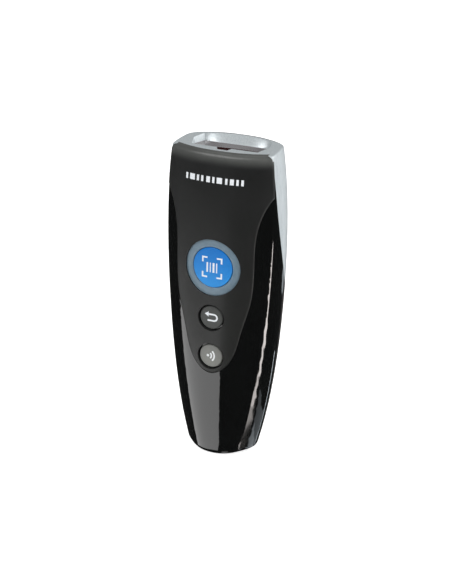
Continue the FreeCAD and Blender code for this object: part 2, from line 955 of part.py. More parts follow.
def screw_head_front(z):
    low = z < size("cover_top")
    return size("low_head_front") if low else size("high_head_front")


def skin_patch(half, low, high, deep):
    """The outermost layer of the rear, under a rectangle seen from behind."""
    window = Part.makeBox(2 * half, REACH, high - low, Vector(-half, size("bay_rear"), low))
    under = form(deep).common(side_view_prism([
        (-REACH, BELOW), (size("rear_flat") - deep, BELOW),
        (size("rear_flat") - deep, ABOVE), (-REACH, ABOVE),
    ]))
    return outer.common(window).cut(under)


def label_recess():
    return skin_patch(size("label_side"), size("label_foot"), size("label_top"), size("label_deep"))


def rear_label_shape():
    """Blank label that lies just below the rear surface."""
    inset = size("label_side") - size("gap")
    blank = skin_patch(inset, size("label_foot") + size("gap"), size("label_top") - size("gap"),
                       size("label_deep"))
    top = skin_patch(inset + OUTSIDE, size("label_foot") - OUTSIDE, size("label_top") + OUTSIDE,
                     size("label_sink"))
    return blank.cut(top)


def rear_shell_shape():
    """Matte rear half: open battery bay below, screw pillars, thin rim above the bezel."""
    shell = outer.cut(cavity).common(behind_parting).common(below_bezel)
    ledge = form(size("boss_sink")).common(
        slab_between(size("ledge_foot") - size("ledge_lap_foot"), size("ledge_top") + size("ledge_lap_top")))
    ledge = ledge.common(side_view_prism([
        (size("ledge_front"), BELOW), (size("ledge_rear"), BELOW),
        (size("ledge_rear"), ABOVE), (size("ledge_front"), ABOVE),
    ]))
    opening = Part.makeBox(
        2 * size("ledge_side"), REACH, size("ledge_top") - size("ledge_foot"),
        Vector(-size("ledge_side"), 0.0, size("ledge_foot")))
    shell = shell.fuse(ledge.cut(opening))
    for x, z, depth in bosses(parting_y):
        end = size("cover_split") if z < size("cover_top") else FAR_REAR
        blank = y_rod(x, z, size("pillar_radius"), depth, end)
        shell = shell.fuse(blank.common(outer).common(behind_parting))
    cover_space = side_view_prism([
        (size("cover_split") - size("gap"), BELOW), (REACH, BELOW),
        (REACH, size("cover_top")), (size("cover_split") - size("gap"), size("cover_top")),
    ])
    shell = shell.cut(cover_space)
    for item in (wedge, seal):
        shell = shell.cut(item)
    for x, z, depth in bosses(parting_y):
        head = screw_head_front(z)
        shell = shell.cut(y_rod(x, z, size("pillar_hole_radius"), 0.0, head))
        shell = shell.cut(y_rod(x, z, size("head_pocket_radius"), head, FAR_REAR))
    shell = shell.cut(label_recess())
    for step in range(-2, 3):
        shell = shell.cut(y_rod(
            step * size("sound_hole_pitch"), size("sound_hole_height"), size("sound_hole_radius"),
            size("bay_rear"), FAR_REAR))
    return shell.fuse(rear_rim).removeSplitter()


def battery_cover_shape():
    """Sliding battery cover with its two tongued rails."""
    split = size("cover_split")
    top = size("cover_top") - size("cover_gap")
    region = side_view_prism([(split, BELOW), (REACH, BELOW), (REACH, top), (split, top)])
    hollow = form(size("cover_skin")).common(slab_between(size("cover_skin"), ABOVE))
    cover = outer.common(region).cut(hollow)
    for hand in (-1, 1):
        inner = size("rail_side")
        wall = size("rail_wall")
        reach = size("tongue_out")
        rail_x = inner if hand > 0 else -inner - wall
        rail = Part.makeBox(
            wall, FAR_REAR, size("rail_long"), Vector(rail_x, size("tongue_front"), size("rail_foot")))
        tongue_x = inner if hand > 0 else -inner - reach
        tongue = Part.makeBox(
            reach, size("tongue_rear") - size("tongue_front"), size("rail_long"),
            Vector(tongue_x, size("tongue_front"), size("rail_foot")))
        cover = cover.fuse(rail.common(form(size("rail_sink")))).fuse(tongue)
    for step in range(int(size("grip_count"))):
        low = size("grip_foot") + step * size("grip_pitch")
        cover = cover.cut(skin_patch(size("grip_side"), low, low + size("grip_wide"), size("grip_deep")))
    return cover.removeSplitter()


def recess_wire(z_of, grow, crown, notch):
    """Six-sided window opening; z_of gives the height at each depth."""
    def spot(x, y):
        return Vector(x, y, z_of(y))

    side = size("recess_side") + grow
    rear_side = size("recess_rear_side") + grow
    front_side = size("recess_front_side") + grow
    rear = size("recess_rear") + grow
    front = -size("recess_front") - grow
    middle = size("recess_mid")
    if crown > 0:
        back = Part.Arc(spot(rear_side, rear), spot(0, rear + crown), spot(-rear_side, rear)).toShape()
    else:
        back = Part.makeLine(spot(rear_side, rear), spot(-rear_side, rear))
    points = [spot(-rear_side, rear), spot(-side, middle), spot(-front_side, front)]
    if notch > 0:
        points += [
            spot(-size("notch_wide") / 2, front), spot(-size("notch_narrow") / 2, front - notch),
            spot(size("notch_narrow") / 2, front - notch), spot(size("notch_wide") / 2, front),
        ]
    points += [spot(front_side, front), spot(side, middle), spot(rear_side, rear)]
    return Part.Wire([back] + Part.makePolygon(points).Edges)


WINDOW_FACE = size("window_face")


def recess_volume():
    """Tapered pocket from above the rim down to the window's face."""
    def floor(_):
        return WINDOW_FACE

    wires = [
        recess_wire(rim_height, 0.0, size("recess_rear_crown"), size("notch_deep")),
        recess_wire(floor, -size("recess_draft"), size("recess_floor_crown"), size("notch_deep")),
    ]
    pocket = Part.makeLoft(wires, True, True)
    lid = Part.Face(wires[0]).extrude(Vector(0, 0, OUTSIDE))
    return pocket.fuse(lid)


def window_wire(grow, height):
    return recess_wire(lambda y: height, grow - size("recess_draft"), 0.0, 0.0)


def bezel_shape():
    """Silver top bezel: rim block with the window recess and one wedge down each side."""
    block = outer.common(above_bezel)
    bezel = block.fuse(wedge).cut(panel_volume)
    bezel = bezel.cut(rear_rim)
    bezel = bezel.cut(recess_volume())
    margin = size("window_margin")
    seat = Part.Face(window_wire(margin + size("gap"), WINDOW_FACE)).extrude(
        Vector(0, 0, size("bezel_floor") - WINDOW_FACE - OUTSIDE))
    return bezel.cut(seat).removeSplitter()


def window_shape():
    face = Part.Face(window_wire(size("window_margin"), WINDOW_FACE))
    return face.extrude(Vector(0, 0, -size("window_thick")))


def gasket_shape():
    """Foam frame under the window."""
    height = WINDOW_FACE - size("window_thick")
    thick = Vector(0, 0, -size("gasket_thick"))
    outline = Part.Face(window_wire(size("window_margin"), height)).extrude(thick)
    inner = Part.Face(window_wire(size("window_margin") - size("gasket_width"), height)).extrude(thick)
    return outline.cut(inner)


node("front_panel", tool("FrontPanel", front_panel_shape()))
node("front_shell", tool("FrontShell", front_shell_shape()))
node("rear_shell", tool("RearShell", rear_shell_shape()))
node("battery_cover", tool("BatteryCover", battery_cover_shape()))
node("window_bezel", tool("WindowBezel", bezel_shape()))
node("scan_window", tool("ScanWindow", window_shape()))
node("window_gasket", tool("WindowGasket", gasket_shape()))
node("perimeter_seal", tool("PerimeterSeal", seal))
node("rear_label", tool("RearLabel", rear_label_shape()))


# ---------------------------------------------------------------- keys and light ring

PRESS_SPOTS = ("trigger_height", "undo_height", "link_height")
CROWN_SLACK = 0.25
CROWN_DEPTH = 2.0


def crown_edges(shape, radius):
    """Edges where a round key or opening of this radius meets the crowned front."""
    wide = 2 * (radius + CROWN_SLACK)
    return [edge for edge in shape.Edges
            if edge.CenterOfMass.y < -size("front_foot") and edge.BoundBox.XLength < wide
            and edge.BoundBox.YLength < CROWN_DEPTH]


def turned_rod(z, radius, start, stop):
    """A rod on the middle line whose seam lies on a slant, clear of the edges that get rounded."""
    rod_shape = y_rod(0, z, radius, start, stop)
    rod_shape.rotate(Vector(0, start, z), Vector(0, 1, 0), size("seam_turn"))
    return rod_shape


def light_ring_shape():
    """Translucent ring round the trigger, held by a flange behind the shell wall."""
    z = size("trigger_height")
    back = -size("ring_back")
    flange = turned_rod(z, size("ring_flange_radius"), FAR_FRONT, back)
    flange = flange.common(form(size("wall") + size("gap")))
    blank = flange.fuse(turned_rod(z, size("ring_outer_radius"), FAR_FRONT, back))
    opening = turned_rod(z, size("ring_inner_radius"), 2 * FAR_FRONT, 0)
    ring = blank.cut(opening).common(form(size("ring_sink")))
    return ring.makeFillet(size("ring_lip_round"), crown_edges(ring, size("ring_inner_radius")))


def button_shape(z, radius, sink, flange_radius, flange_front, flange_back, hollow=None):
    """A crowned key: cap, retaining flange and the stem that works its switch."""
    blank = turned_rod(z, radius, FAR_FRONT, -flange_back)
    blank = blank.fuse(turned_rod(z, flange_radius, -flange_front, -flange_back))
    blank = blank.fuse(turned_rod(z, size("stem_radius"), -flange_front, -size("stem_end")))
    if hollow is not None:
        blank = blank.cut(hollow)
    key = blank.common(form(sink))
    return key.makeFillet(size("key_round"), crown_edges(key, radius))


def trigger_shape():
    z = size("trigger_height")
    hollow = turned_rod(z, size("trigger_hollow_radius"), -size("trigger_hollow_front"), 0)
    hollow = hollow.cut(turned_rod(z, size("stem_radius"), FAR_FRONT, 0))
    return button_shape(
        z, size("trigger_radius"), size("trigger_sink"), size("trigger_flange_radius"),
        size("trigger_flange_front"), size("trigger_flange_back"), hollow)


def key_shape(z):
    return button_shape(
        z, size("key_radius"), size("key_sink"),
        size("key_flange_radius"), size("key_flange_front"), size("key_flange_back"))


node("light_ring", tool("LightRing", light_ring_shape()))
node("trigger_button", tool("TriggerButton", trigger_shape()))
node("undo_key", tool("UndoKey", key_shape(size("undo_height"))))
node("link_key", tool("LinkKey", key_shape(size("link_height"))))


# ---------------------------------------------------------------- electronics

HANDS = (("left", "-"), ("right", ""))


def main_board():
    outline = [
        ("-board_narrow", "board_foot"), ("board_narrow", "board_foot"),
        ("board_narrow", "board_narrow_top"), ("board_wide", "board_wide_from"),
        ("board_wide", "board_top"), ("-board_wide", "board_top"),
        ("-board_wide", "board_wide_from"), ("-board_narrow", "board_narrow_top"),
    ]
    circles = [(sign + "post_side", level, "board_screw_shank + gap")
               for _, sign in HANDS for level in ("post_low", "post_high")]
    return plate("MainBoard", outline, circles, "-board_front", "board_thick")


LED_OFFSETS = [
    ("left_low", "-", "-"), ("right_low", "", "-"), ("left_high", "-", ""), ("right_high", "", ""),
]
LED_REACH = "led_circle / sqrt(2)"


def key_pad():
    """Silicone pad: a sheet on the board with a collar under each key."""
    outline = [
        ("-pad_side", "pad_foot"), ("pad_side", "pad_foot"),
        ("pad_side", "pad_top"), ("-pad_side", "pad_top"),
    ]
    circles = [("0", level, "dome_radius + pad_gap") for level in PRESS_SPOTS]
    for _, side, rise in LED_OFFSETS:
        circles.append((f"{side}{LED_REACH}", f"trigger_height + ({rise}{LED_REACH})", "led_long * 3 / 4"))
    items = [plate("KeyPadSheet", outline, circles, "-board_front - pad_thick", "pad_thick")]
    for level in PRESS_SPOTS:
        front = "trigger_collar_front" if level == "trigger_height" else "key_collar_front"
        at = ("0", "-" + front, level)
        long = front + " - board_front - pad_thick"
        outer_rod = rod("Collar_" + level, "collar_outer", at, long)
        inner_rod = rod("CollarHole_" + level, "collar_inner", at, long)
        items.append(cut("CollarTube_" + level, outer_rod, [inner_rod]))
    return fuse("KeyPad", items)


def dome_switches():
    return group("DomeSwitches", [
        rod("Dome_" + level, "dome_radius", ("0", "-board_front - dome_tall", level), "dome_tall")
        for level in PRESS_SPOTS])


def ring_leds():
    items = []
    for name, side, rise in LED_OFFSETS:
        x = f"{side}{LED_REACH}"
        z = f"trigger_height + ({rise}{LED_REACH})"
        low = (f"{x} - led_long / 2", "-board_front - led_tall", f"{z} - led_wide / 2")
        high = (f"{x} + led_long / 2", "-board_front", f"{z} + led_wide / 2")
        items.append(box("RingLed_" + name, low, high))
    return group("RingLeds", items)


BOARD_BACK = "-board_front + board_thick"


def on_board(name, kind, lift="0"):
    """A block standing on the back of the main board, or lifted off it by another block."""
    return box(
        name,
        (kind + "_left", f"{BOARD_BACK} + {lift}", kind + "_foot"),
        (kind + "_right", f"{BOARD_BACK} + {lift} + {kind}_tall", kind + "_top"))


def charging_socket():
    body = box("SocketShell", ("-socket_side", "socket_front", "socket_foot"),
               ("socket_side", "socket_rear", "socket_top"))
    mouth = box(
        "SocketMouth",
        ("-socket_side + socket_skin", "socket_front + socket_skin", "socket_foot - socket_end"),
        ("socket_side - socket_skin", "socket_rear - socket_skin", "socket_top - socket_end"))
    tab = box(
        "SocketTab", ("-socket_side + tab_side", "socket_front + tab_front", "socket_foot + socket_end"),
        ("socket_side - tab_side", "socket_front + tab_front + tab_thick", "socket_top - socket_end"))
    return fuse("ChargingSocket", [cut("SocketBody", body, [mouth]), tab])


node("main_board", main_board())
node("key_pad", key_pad())
node("dome_switches", dome_switches())
node("ring_leds", ring_leds())
node("processor", on_board("Processor", "processor"))
node("memory_chip", on_board("MemoryChip", "memory"))
node("charger_chip", on_board("ChargerChip", "charger"))
node("radio_board", on_board("RadioBoard", "radio"))
node("radio_shield", on_board("RadioShield", "shield", "radio_tall"))
node("chip_antenna", on_board("ChipAntenna", "antenna", "radio_tall"))
node("charging_socket", charging_socket())
node("beeper", rod("Beeper", "beeper_radius", ("beeper_x", BOARD_BACK + " + gap", "beeper_z"), "beeper_tall"))


# ---------------------------------------------------------------- inner frame and battery

def inner_frame():
    """Moulded frame: back plate, battery bay walls, motor saddle and four legs."""
    back = "frame_front + frame_thick"
    outline = [
        ("-frame_narrow", "frame_foot"), ("frame_narrow", "frame_foot"),
        ("frame_wide", "board_wide_from"), ("frame_wide", "board_top - cover_gap"),
        ("-frame_wide", "board_top - cover_gap"), ("-frame_wide", "board_wide_from"),
    ]
    items = [plate("FramePlate", outline, [], "frame_front", "frame_thick")]
    items.append(box("BayWall_left", ("-bay_side - bay_wall", back, "bay_wall_foot"),
                     ("-bay_side", "bay_rear", "bay_top")))
    items.append(box("BayWall_right", ("bay_side", back, "bay_wall_foot"),
                     ("bay_side + bay_wall", "bay_rear", "bay_top")))
    items.append(box("BayEnd", ("-frame_narrow", back, "bay_foot"),
                     ("frame_narrow", "bay_rear", "battery_foot - contact_gap")))
    for name, sign in HANDS:
        for level in ("low", "high"):
            at = (f"{sign}leg_{level}_side", BOARD_BACK, f"leg_{level}")
            items.append(rod(f"FrameLeg_{name}_{level}", "leg_radius", at, f"frame_front - ({BOARD_BACK})"))
    saddle = box("SaddleBlock", ("motor_left + saddle_inset", back, "motor_z - saddle_half"),
                 ("motor_left + saddle_end", "motor_y - saddle_inset", "motor_z + saddle_half"))
    seat = rod("SaddleSeat", "motor_radius + gap", ("motor_left", "motor_y", "motor_z"), "motor_long", "X")
    items.append(cut("Saddle", saddle, [seat]))
    return fuse("InnerFrame", items)


def battery_pack():
    block = box("BatteryBlock", ("-battery_wide / 2", "battery_front", "battery_foot"),
                ("battery_wide / 2", "battery_front + battery_thick", "battery_foot + battery_long"))
    document.recompute()
    pack = document.addObject("Part::Fillet", "BatteryPack")
    pack.Base = block
    rounding = size("battery_round")
    pack.Edges = [(number, rounding, rounding) for number in range(1, len(block.Shape.Edges) + 1)]
    return pack


def contact_pins():
    end = "battery_foot + battery_long + gap"
    return group("ContactPins", [
        rod(f"ContactPin_{name}", "pin_radius", (x, "pin_y", end), f"bay_top + contact_gap - ({end})", "Z")
        for name, x in (("left", "-pin_pitch"), ("middle", "0"), ("right", "pin_pitch"))])


node("inner_frame", inner_frame())
node("battery_pack", battery_pack())
node("contact_block", box(
    "ContactBlock", ("-contact_side", "frame_front + frame_thick", "bay_top + contact_gap"),
    ("contact_side", "contact_rear", "bay_top + contact_gap + contact_tall")))
node("contact_pins", contact_pins())


# ---------------------------------------------------------------- vibration motor

def motor_can():
    can = rod("MotorCanBlank", "motor_radius", ("motor_left", "motor_y", "motor_z"), "motor_long", "X")
    inside = ("motor_left + motor_cap", "motor_y", "motor_z")
    bore = rod("MotorCanBore", "shaft_bore", inside, "motor_long", "X")
    return cut("MotorCan", can, [bore])


def motor_weight():
    """Half-round eccentric weight, bored to sit on the shaft."""
    disc = rod("WeightDisc", "weight_radius", ("weight_left", "motor_y", "motor_z"), "weight_long", "X")
    half = box("WeightHalf", ("weight_left", "motor_y - 2 * weight_radius", "motor_z - 2 * weight_radius"),
               ("weight_left + weight_long", "motor_y + 2 * weight_radius", "motor_z - weight_flat"))
    bore = rod("WeightBore", "shaft_radius", ("weight_left", "motor_y", "motor_z"), "weight_long", "X")
    return cut("MotorWeight", disc, [half, bore])


node("motor_can", motor_can())
node("motor_shaft", rod("MotorShaft", "shaft_radius", ("motor_left + shaft_inset", "motor_y", "motor_z"),
                        "shaft_right - motor_left - shaft_inset", "X"))
node("motor_weight", motor_weight())


# ---------------------------------------------------------------- imager

LED_LENSES = [("aimer", "aimer_x", "lens_y"), ("flood_front", "-aimer_x", "lens_y - flood_apart"),
              ("flood_rear", "-aimer_x", "lens_y + flood_apart")]
IMAGER_DEPTH = "imager_top - imager_foot"


def imager_housing():
    block = box("ImagerBlock", ("-imager_side", "imager_front", "imager_foot"),
                ("imager_side", "imager_rear", "imager_top"))
    half = "(sensor_side + sensor_gap)"
    tools = [
        rod("LensBore", "lens_bore", ("0", "lens_y", "imager_foot"), IMAGER_DEPTH, "Z"),
        box("SensorPocket", ("-" + half, "lens_y - " + half, "imager_foot"),
            (half, "lens_y + " + half, "imager_foot + 3 * sensor_gap")),
    ]
    for name, x, y in LED_LENSES:
        tools.append(rod("Bore_" + name, "aimer_radius", (x, y, "imager_foot"), IMAGER_DEPTH, "Z"))
    return cut("ImagerHousing", block, tools)


def led_lens(name, x, y):
    return rod("Led_" + name, "aimer_radius - bracket_gap", (x, y, "imager_foot"), "led_lens_long", "Z")


def imager_bracket():
    foot = "board_top - bracket_gap"
    rear = "imager_rear + bracket_gap + bracket_thick"
    wall_plate = box("BracketWall", ("-frame_wide", "imager_rear + bracket_gap", foot),
                     ("frame_wide", rear, "imager_top + bracket_thick"))
    shelf = box("BracketShelf", ("-frame_wide", "frame_front", foot),
                ("frame_wide", rear, foot + " + bracket_thick"))
    return fuse("ImagerBracket", [wall_plate, shelf])


def imager_flex():
    top = "board_top + flex_step + flex_thick"
    tail = box("FlexTail", ("-flex_side", BOARD_BACK, "flex_foot"),
               ("flex_side", BOARD_BACK + " + flex_thick", top))
    tab = box("FlexTab", ("-flex_side", BOARD_BACK, "board_top + flex_step"), ("flex_side", "flex_rear", top))
    return fuse("ImagerFlex", [tail, tab])


def lens_barrel():
    return turned("LensBarrel", [
        ("barrel_foot", "barrel_hole"), ("barrel_top", "barrel_hole"),
        ("barrel_top", "barrel_radius - barrel_bevel"), ("barrel_top - barrel_bevel", "barrel_radius"),
        ("barrel_foot", "barrel_radius"),
    ], "Z")


node("imager_housing", imager_housing())
node("imager_bracket", imager_bracket())
node("imager_flex", imager_flex())
node("sensor_board", box(
    "SensorBoard",
    ("-imager_side + sensor_gap", "imager_front + sensor_gap",
     "board_top + flex_step + flex_thick + bracket_gap"),
    ("imager_side - sensor_gap", "imager_rear - sensor_gap", "imager_foot - bracket_gap")))
node("image_sensor", box("ImageSensor", ("-sensor_side", "lens_y - sensor_side", "imager_foot - bracket_gap"),
                         ("sensor_side", "lens_y + sensor_side", "imager_foot + sensor_gap")))
barrel = node("lens_barrel", lens_barrel())
barrel.setExpression("Placement.Base.y", bound("lens_y"))
LENS_FOOT = "barrel_top - 2 * barrel_bevel - lens_thick"
node("imager_lens", rod("ImagerLens", "barrel_hole", ("0", "lens_y", LENS_FOOT), "lens_thick", "Z"))
node("aimer_led", led_lens(*LED_LENSES[0]))
node("flood_leds", group("FloodLeds", [led_lens(*spot) for spot in LED_LENSES[1:]]))


# ---------------------------------------------------------------- charging flap

def charge_flap_shape():
    """Flap in the foot: plate, round hinge bead and the plug that enters the socket."""
    side = size("flap_side")
    pivot_y = size("flap_pivot_y")
    pivot_z = size("flap_pivot_z")
    leaf = Part.makeBox(
        2 * side, size("flap_rear") - pivot_y, pivot_z - UNDER_FOOT, Vector(-side, pivot_y, UNDER_FOOT))
    bead = Part.makeCylinder(size("flap_bead"), 2 * side, Vector(-side, pivot_y, pivot_z), Vector(1, 0, 0))
    plug_half = size("socket_side") - size("plug_side")
    plug = Part.makeBox(2 * plug_half, size("plug_wide"), size("plug_tall"),
                        Vector(-plug_half, size("socket_front") + size("plug_front"), pivot_z))
    flap = leaf.fuse([bead, plug]).common(outer)
    bore = Part.makeCylinder(
        size("flap_pin_radius") + size("gap"), 4 * side, Vector(-2 * side, pivot_y, pivot_z), Vector(1, 0, 0))
    return flap.cut(bore)


node("charge_flap", tool("ChargeFlap", charge_flap_shape()))
node("flap_pin", rod("FlapPin", "flap_pin_radius", ("-flap_pin_side", "flap_pivot_y", "flap_pivot_z"),
                     "2 * flap_pin_side", "X"))


# ---------------------------------------------------------------- fasteners

def screw(name, x, z, head_front, head, head_tall, shank, long):
    """A turned screw driven from the rear, with a round driver socket."""
    socket = f"{head} * driver_share"
    tip = f"{head_front} - {long}"
    top = f"{head_front} + {head_tall}"
    body = turned(name, [
        (tip, "0"), (tip, f"{shank} - screw_tip"), (f"{tip} + driver_deep", shank),
        (head_front, shank), (head_front, head), (top, head), (top, socket),
        (f"{top} - driver_deep", socket), (f"{top} - driver_deep", "0"),
    ])
    body.setExpression("Placement.Base.x", bound(x))
    body.setExpression("Placement.Base.z", bound(z))
    return body


def case_screws():
    items = []
    for hand, sign in HANDS:
        for level in ("low", "high"):
            items.append(screw(
                f"CaseScrew_{hand}_{level}", f"{sign}screw_{level}_side", f"screw_{level}_height",
                f"{level}_head_front", "head_radius", "head_tall", "screw_radius", "screw_long"))
    return group("CaseScrews", items)


def board_screws():
    items = []
    for hand, sign in HANDS:
        for level in ("post_low", "post_high"):
            items.append(screw(
                f"BoardScrew_{hand}_{level}", sign + "post_side", level, BOARD_BACK,
                "board_screw_head", "board_screw_head_tall", "board_screw_shank", "board_screw_long"))
    return group("BoardScrews", items)


def screw_plugs_shape():
    """Rubber plugs over the two upper case screws, flush with the rear surface."""
    start = size("high_head_front") + size("head_tall") + size("plug_gap")
    plugs = []
    for hand in (-1, 1):
        plug = y_rod(hand * size("screw_high_side"), size("screw_high_height"),
                     size("head_pocket_radius") - size("gap"), start, FAR_REAR)
        plugs.append(plug.common(form(size("plug_gap"))))
    return Part.Compound(plugs)


node("case_screws", case_screws())
node("board_screws", board_screws())
node("screw_plugs", tool("ScrewPlugs", screw_plugs_shape()))


# ---------------------------------------------------------------- checks and files

document.recompute()
os.makedirs("parts", exist_ok=True)
for item in document.Objects:
    if "Invalid" in item.State or "Error" in item.State:
        raise RuntimeError(f"{item.Name} failed: {item.State}")
for item in nodes:
    if item.Shape.isNull() or not item.Shape.isValid() or not item.Shape.Solids:
        raise RuntimeError(f"{item.Label} has no valid solid")
for item in nodes:
    item.Shape.exportStep(f"parts/{item.Label}.step")
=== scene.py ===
"""Pocket wireless scanner: finishes, printed marks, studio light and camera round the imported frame."""

import math

import bpy
from mathutils import Matrix, Vector
from mathutils.bvhtree import BVHTree


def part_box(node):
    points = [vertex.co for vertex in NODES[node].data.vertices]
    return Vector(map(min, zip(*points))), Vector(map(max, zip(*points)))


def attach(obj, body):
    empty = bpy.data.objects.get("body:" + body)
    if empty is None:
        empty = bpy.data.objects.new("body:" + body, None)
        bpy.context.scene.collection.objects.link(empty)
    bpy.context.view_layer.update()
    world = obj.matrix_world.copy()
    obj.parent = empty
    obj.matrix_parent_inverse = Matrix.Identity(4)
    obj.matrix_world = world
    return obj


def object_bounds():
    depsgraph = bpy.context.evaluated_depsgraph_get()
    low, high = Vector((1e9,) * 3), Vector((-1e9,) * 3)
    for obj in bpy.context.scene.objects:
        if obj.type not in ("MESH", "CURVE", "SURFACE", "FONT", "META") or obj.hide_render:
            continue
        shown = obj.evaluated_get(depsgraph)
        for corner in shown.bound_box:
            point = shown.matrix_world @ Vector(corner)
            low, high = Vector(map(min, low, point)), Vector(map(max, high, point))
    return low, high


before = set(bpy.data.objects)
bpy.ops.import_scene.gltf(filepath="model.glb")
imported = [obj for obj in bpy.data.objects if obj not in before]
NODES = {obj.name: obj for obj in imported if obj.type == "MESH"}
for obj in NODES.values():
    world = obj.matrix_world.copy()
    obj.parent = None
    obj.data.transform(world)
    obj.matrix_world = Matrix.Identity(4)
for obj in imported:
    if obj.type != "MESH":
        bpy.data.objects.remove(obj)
cad_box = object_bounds()

MM = 0.001
NOISE_LOW = 0.3
NOISE_HIGH = 0.7
MOTTLE = 0.12


# ---------------------------------------------------------------- colours

def linear(value):
    """One display value of 0 to 255 as linear light."""
    share = value / 255.0
    if share <= 0.04045:
        return share / 12.92
    return ((share + 0.055) / 1.055) ** 2.4


def colour(red, green, blue):
    return (linear(red), linear(green), linear(blue), 1.0)


def shade(tone, factor):
    """The same colour made darker or lighter."""
    return (tone[0] * factor, tone[1] * factor, tone[2] * factor, 1.0)


# ---------------------------------------------------------------- a surface and the nodes that vary it

class Look:
    """A procedural material: one principled surface and the nodes that feed it. Sizes are in metres."""

    def __init__(self, name):
        self.material = bpy.data.materials.new(name)
        self.material.use_nodes = True
        self.tree = self.material.node_tree
        self.tree.nodes.clear()
        self.surface = self.add("ShaderNodeBsdfPrincipled")
        self.output = self.add("ShaderNodeOutputMaterial")
        self.tree.links.new(self.surface.outputs["BSDF"], self.output.inputs["Surface"])
        self.place = self.add("ShaderNodeTexCoord").outputs["Object"]

    def add(self, kind, **settings):
        node = self.tree.nodes.new(kind)
        for key, value in settings.items():
            setattr(node, key, value)
        return node

    def feed(self, socket, value):
        if isinstance(value, bpy.types.NodeSocket):
            self.tree.links.new(value, socket)
        else:
            socket.default_value = value

    def set(self, **values):
        """Feeds the principled surface; an underscore stands for a space in a socket's name."""
        for key, value in values.items():
            self.feed(self.surface.inputs[key.replace("_", " ")], value)

    def stretched(self, stretch):
        if stretch == (1, 1, 1):
            return self.place
        node = self.add("ShaderNodeMapping", vector_type="POINT")
        node.inputs["Scale"].default_value = stretch
        self.feed(node.inputs["Vector"], self.place)
        return node.outputs["Vector"]

    def noise(self, size, detail=2.0, stretch=(1, 1, 1)):
        """Cloudy noise from 0 to 1 with features about this big."""
        node = self.add("ShaderNodeTexNoise")
        self.feed(node.inputs["Vector"], self.stretched(stretch))
        node.inputs["Scale"].default_value = 1.0 / size
        node.inputs["Detail"].default_value = detail
        return node.outputs["Fac"]

    def cells(self, size, output="Distance"):
        """Scattered round cells about this big."""
        node = self.add("ShaderNodeTexVoronoi")
        self.feed(node.inputs["Vector"], self.place)
        node.inputs["Scale"].default_value = 1.0 / size
        return node.outputs[output]

    def lines(self, size, axis="X", distortion=0.0):
        """Parallel bands from 0 to 1 that follow each other along an axis."""
        node = self.add("ShaderNodeTexWave", bands_direction=axis)
        self.feed(node.inputs["Vector"], self.place)
        node.inputs["Scale"].default_value = 0.5 / size
        node.inputs["Distortion"].default_value = distortion
        return node.outputs["Fac"]

    def axis(self, name):
        node = self.add("ShaderNodeSeparateXYZ")
        self.feed(node.inputs["Vector"], self.place)
        return node.outputs[name]

    def span(self, value, low, high, first=0.0, last=1.0):
        """Maps a value between low and high smoothly to first and last, and holds it there outside."""
        node = self.add("ShaderNodeMapRange", interpolation_type="SMOOTHSTEP")
        self.feed(node.inputs["Value"], value)
        self.feed(node.inputs["From Min"], low)
        self.feed(node.inputs["From Max"], high)
        self.feed(node.inputs["To Min"], first)
        self.feed(node.inputs["To Max"], last)
        return node.outputs["Result"]

    def vary(self, value, first, last):
        """Spreads the busy middle of a noise between two values."""
        return self.span(value, NOISE_LOW, NOISE_HIGH, first, last)

    def math(self, operation, first, second=0.0):
        node = self.add("ShaderNodeMath", operation=operation)
        self.feed(node.inputs[0], first)
        self.feed(node.inputs[1], second)
        return node.outputs["Value"]

    def mix(self, amount, first, second):
        node = self.add("ShaderNodeMix", data_type="RGBA")
        self.feed(node.inputs["Factor"], amount)
        self.feed(node.inputs[6], first)
        self.feed(node.inputs[7], second)
        return node.outputs[2]

    def bump(self, height, depth, strength=1.0, under=None):
        """Turns a height from 0 to 1 into a dent or grain this deep."""
        node = self.add("ShaderNodeBump")
        self.feed(node.inputs["Height"], height)
        node.inputs["Distance"].default_value = depth
        node.inputs["Strength"].default_value = strength
        if under is not None:
            self.feed(node.inputs["Normal"], under)
        return node.outputs["Normal"]


def dress(look, *names):
    """Gives a CAD node the finish, in every material slot it has."""
    for name in names:
        mesh = NODES[name].data
        if not mesh.materials:
            mesh.materials.append(look.material)
        for index in range(len(mesh.materials)):
            NODES[name].material_slots[index].link = "OBJECT"
            NODES[name].material_slots[index].material = look.material


# ---------------------------------------------------------------- families of finish

def moulded(name, tone, roughness, grain, depth):
    """Moulded plastic or rubber: a fine grain, a slight unevenness of tone and of polish."""
    look = Look(name)
    cloud = look.noise(6 * MM, 3.0)
    fine = look.noise(grain, 2.0)
    look.set(
        Base_Color=look.mix(cloud, shade(tone, 1 - MOTTLE), shade(tone, 1 + MOTTLE)),
        Roughness=look.vary(look.noise(2.5 * MM, 3.0), roughness * 0.9, roughness * 1.1),
        Specular_IOR_Level=0.5,
        Normal=look.bump(fine, depth))
    return look


def metal(name, tone, roughness, mark_size=0.08 * MM, depth=0.002 * MM):
    """Plain metal with fine working marks."""
    look = Look(name)
    marks = look.noise(mark_size, 3.0)
    look.set(
        Base_Color=look.mix(look.noise(1.5 * MM, 3.0), shade(tone, 0.85), tone),
        Metallic=1.0,
        Roughness=look.vary(marks, roughness * 0.7, roughness * 1.3),
        Normal=look.bump(marks, depth))
    return look


# ---------------------------------------------------------------- outside finishes

# Heights between which painted light makes the panel lighter to the foot and darker to the top.
PANEL_FOOT = 35 * MM
PANEL_TOP = 120 * MM
# Heights of the painted highlight along the panel's top rim.
PANEL_RIM_HIGHLIGHT_FOOT = 116.5 * MM
PANEL_RIM_HIGHLIGHT_TOP = 121 * MM


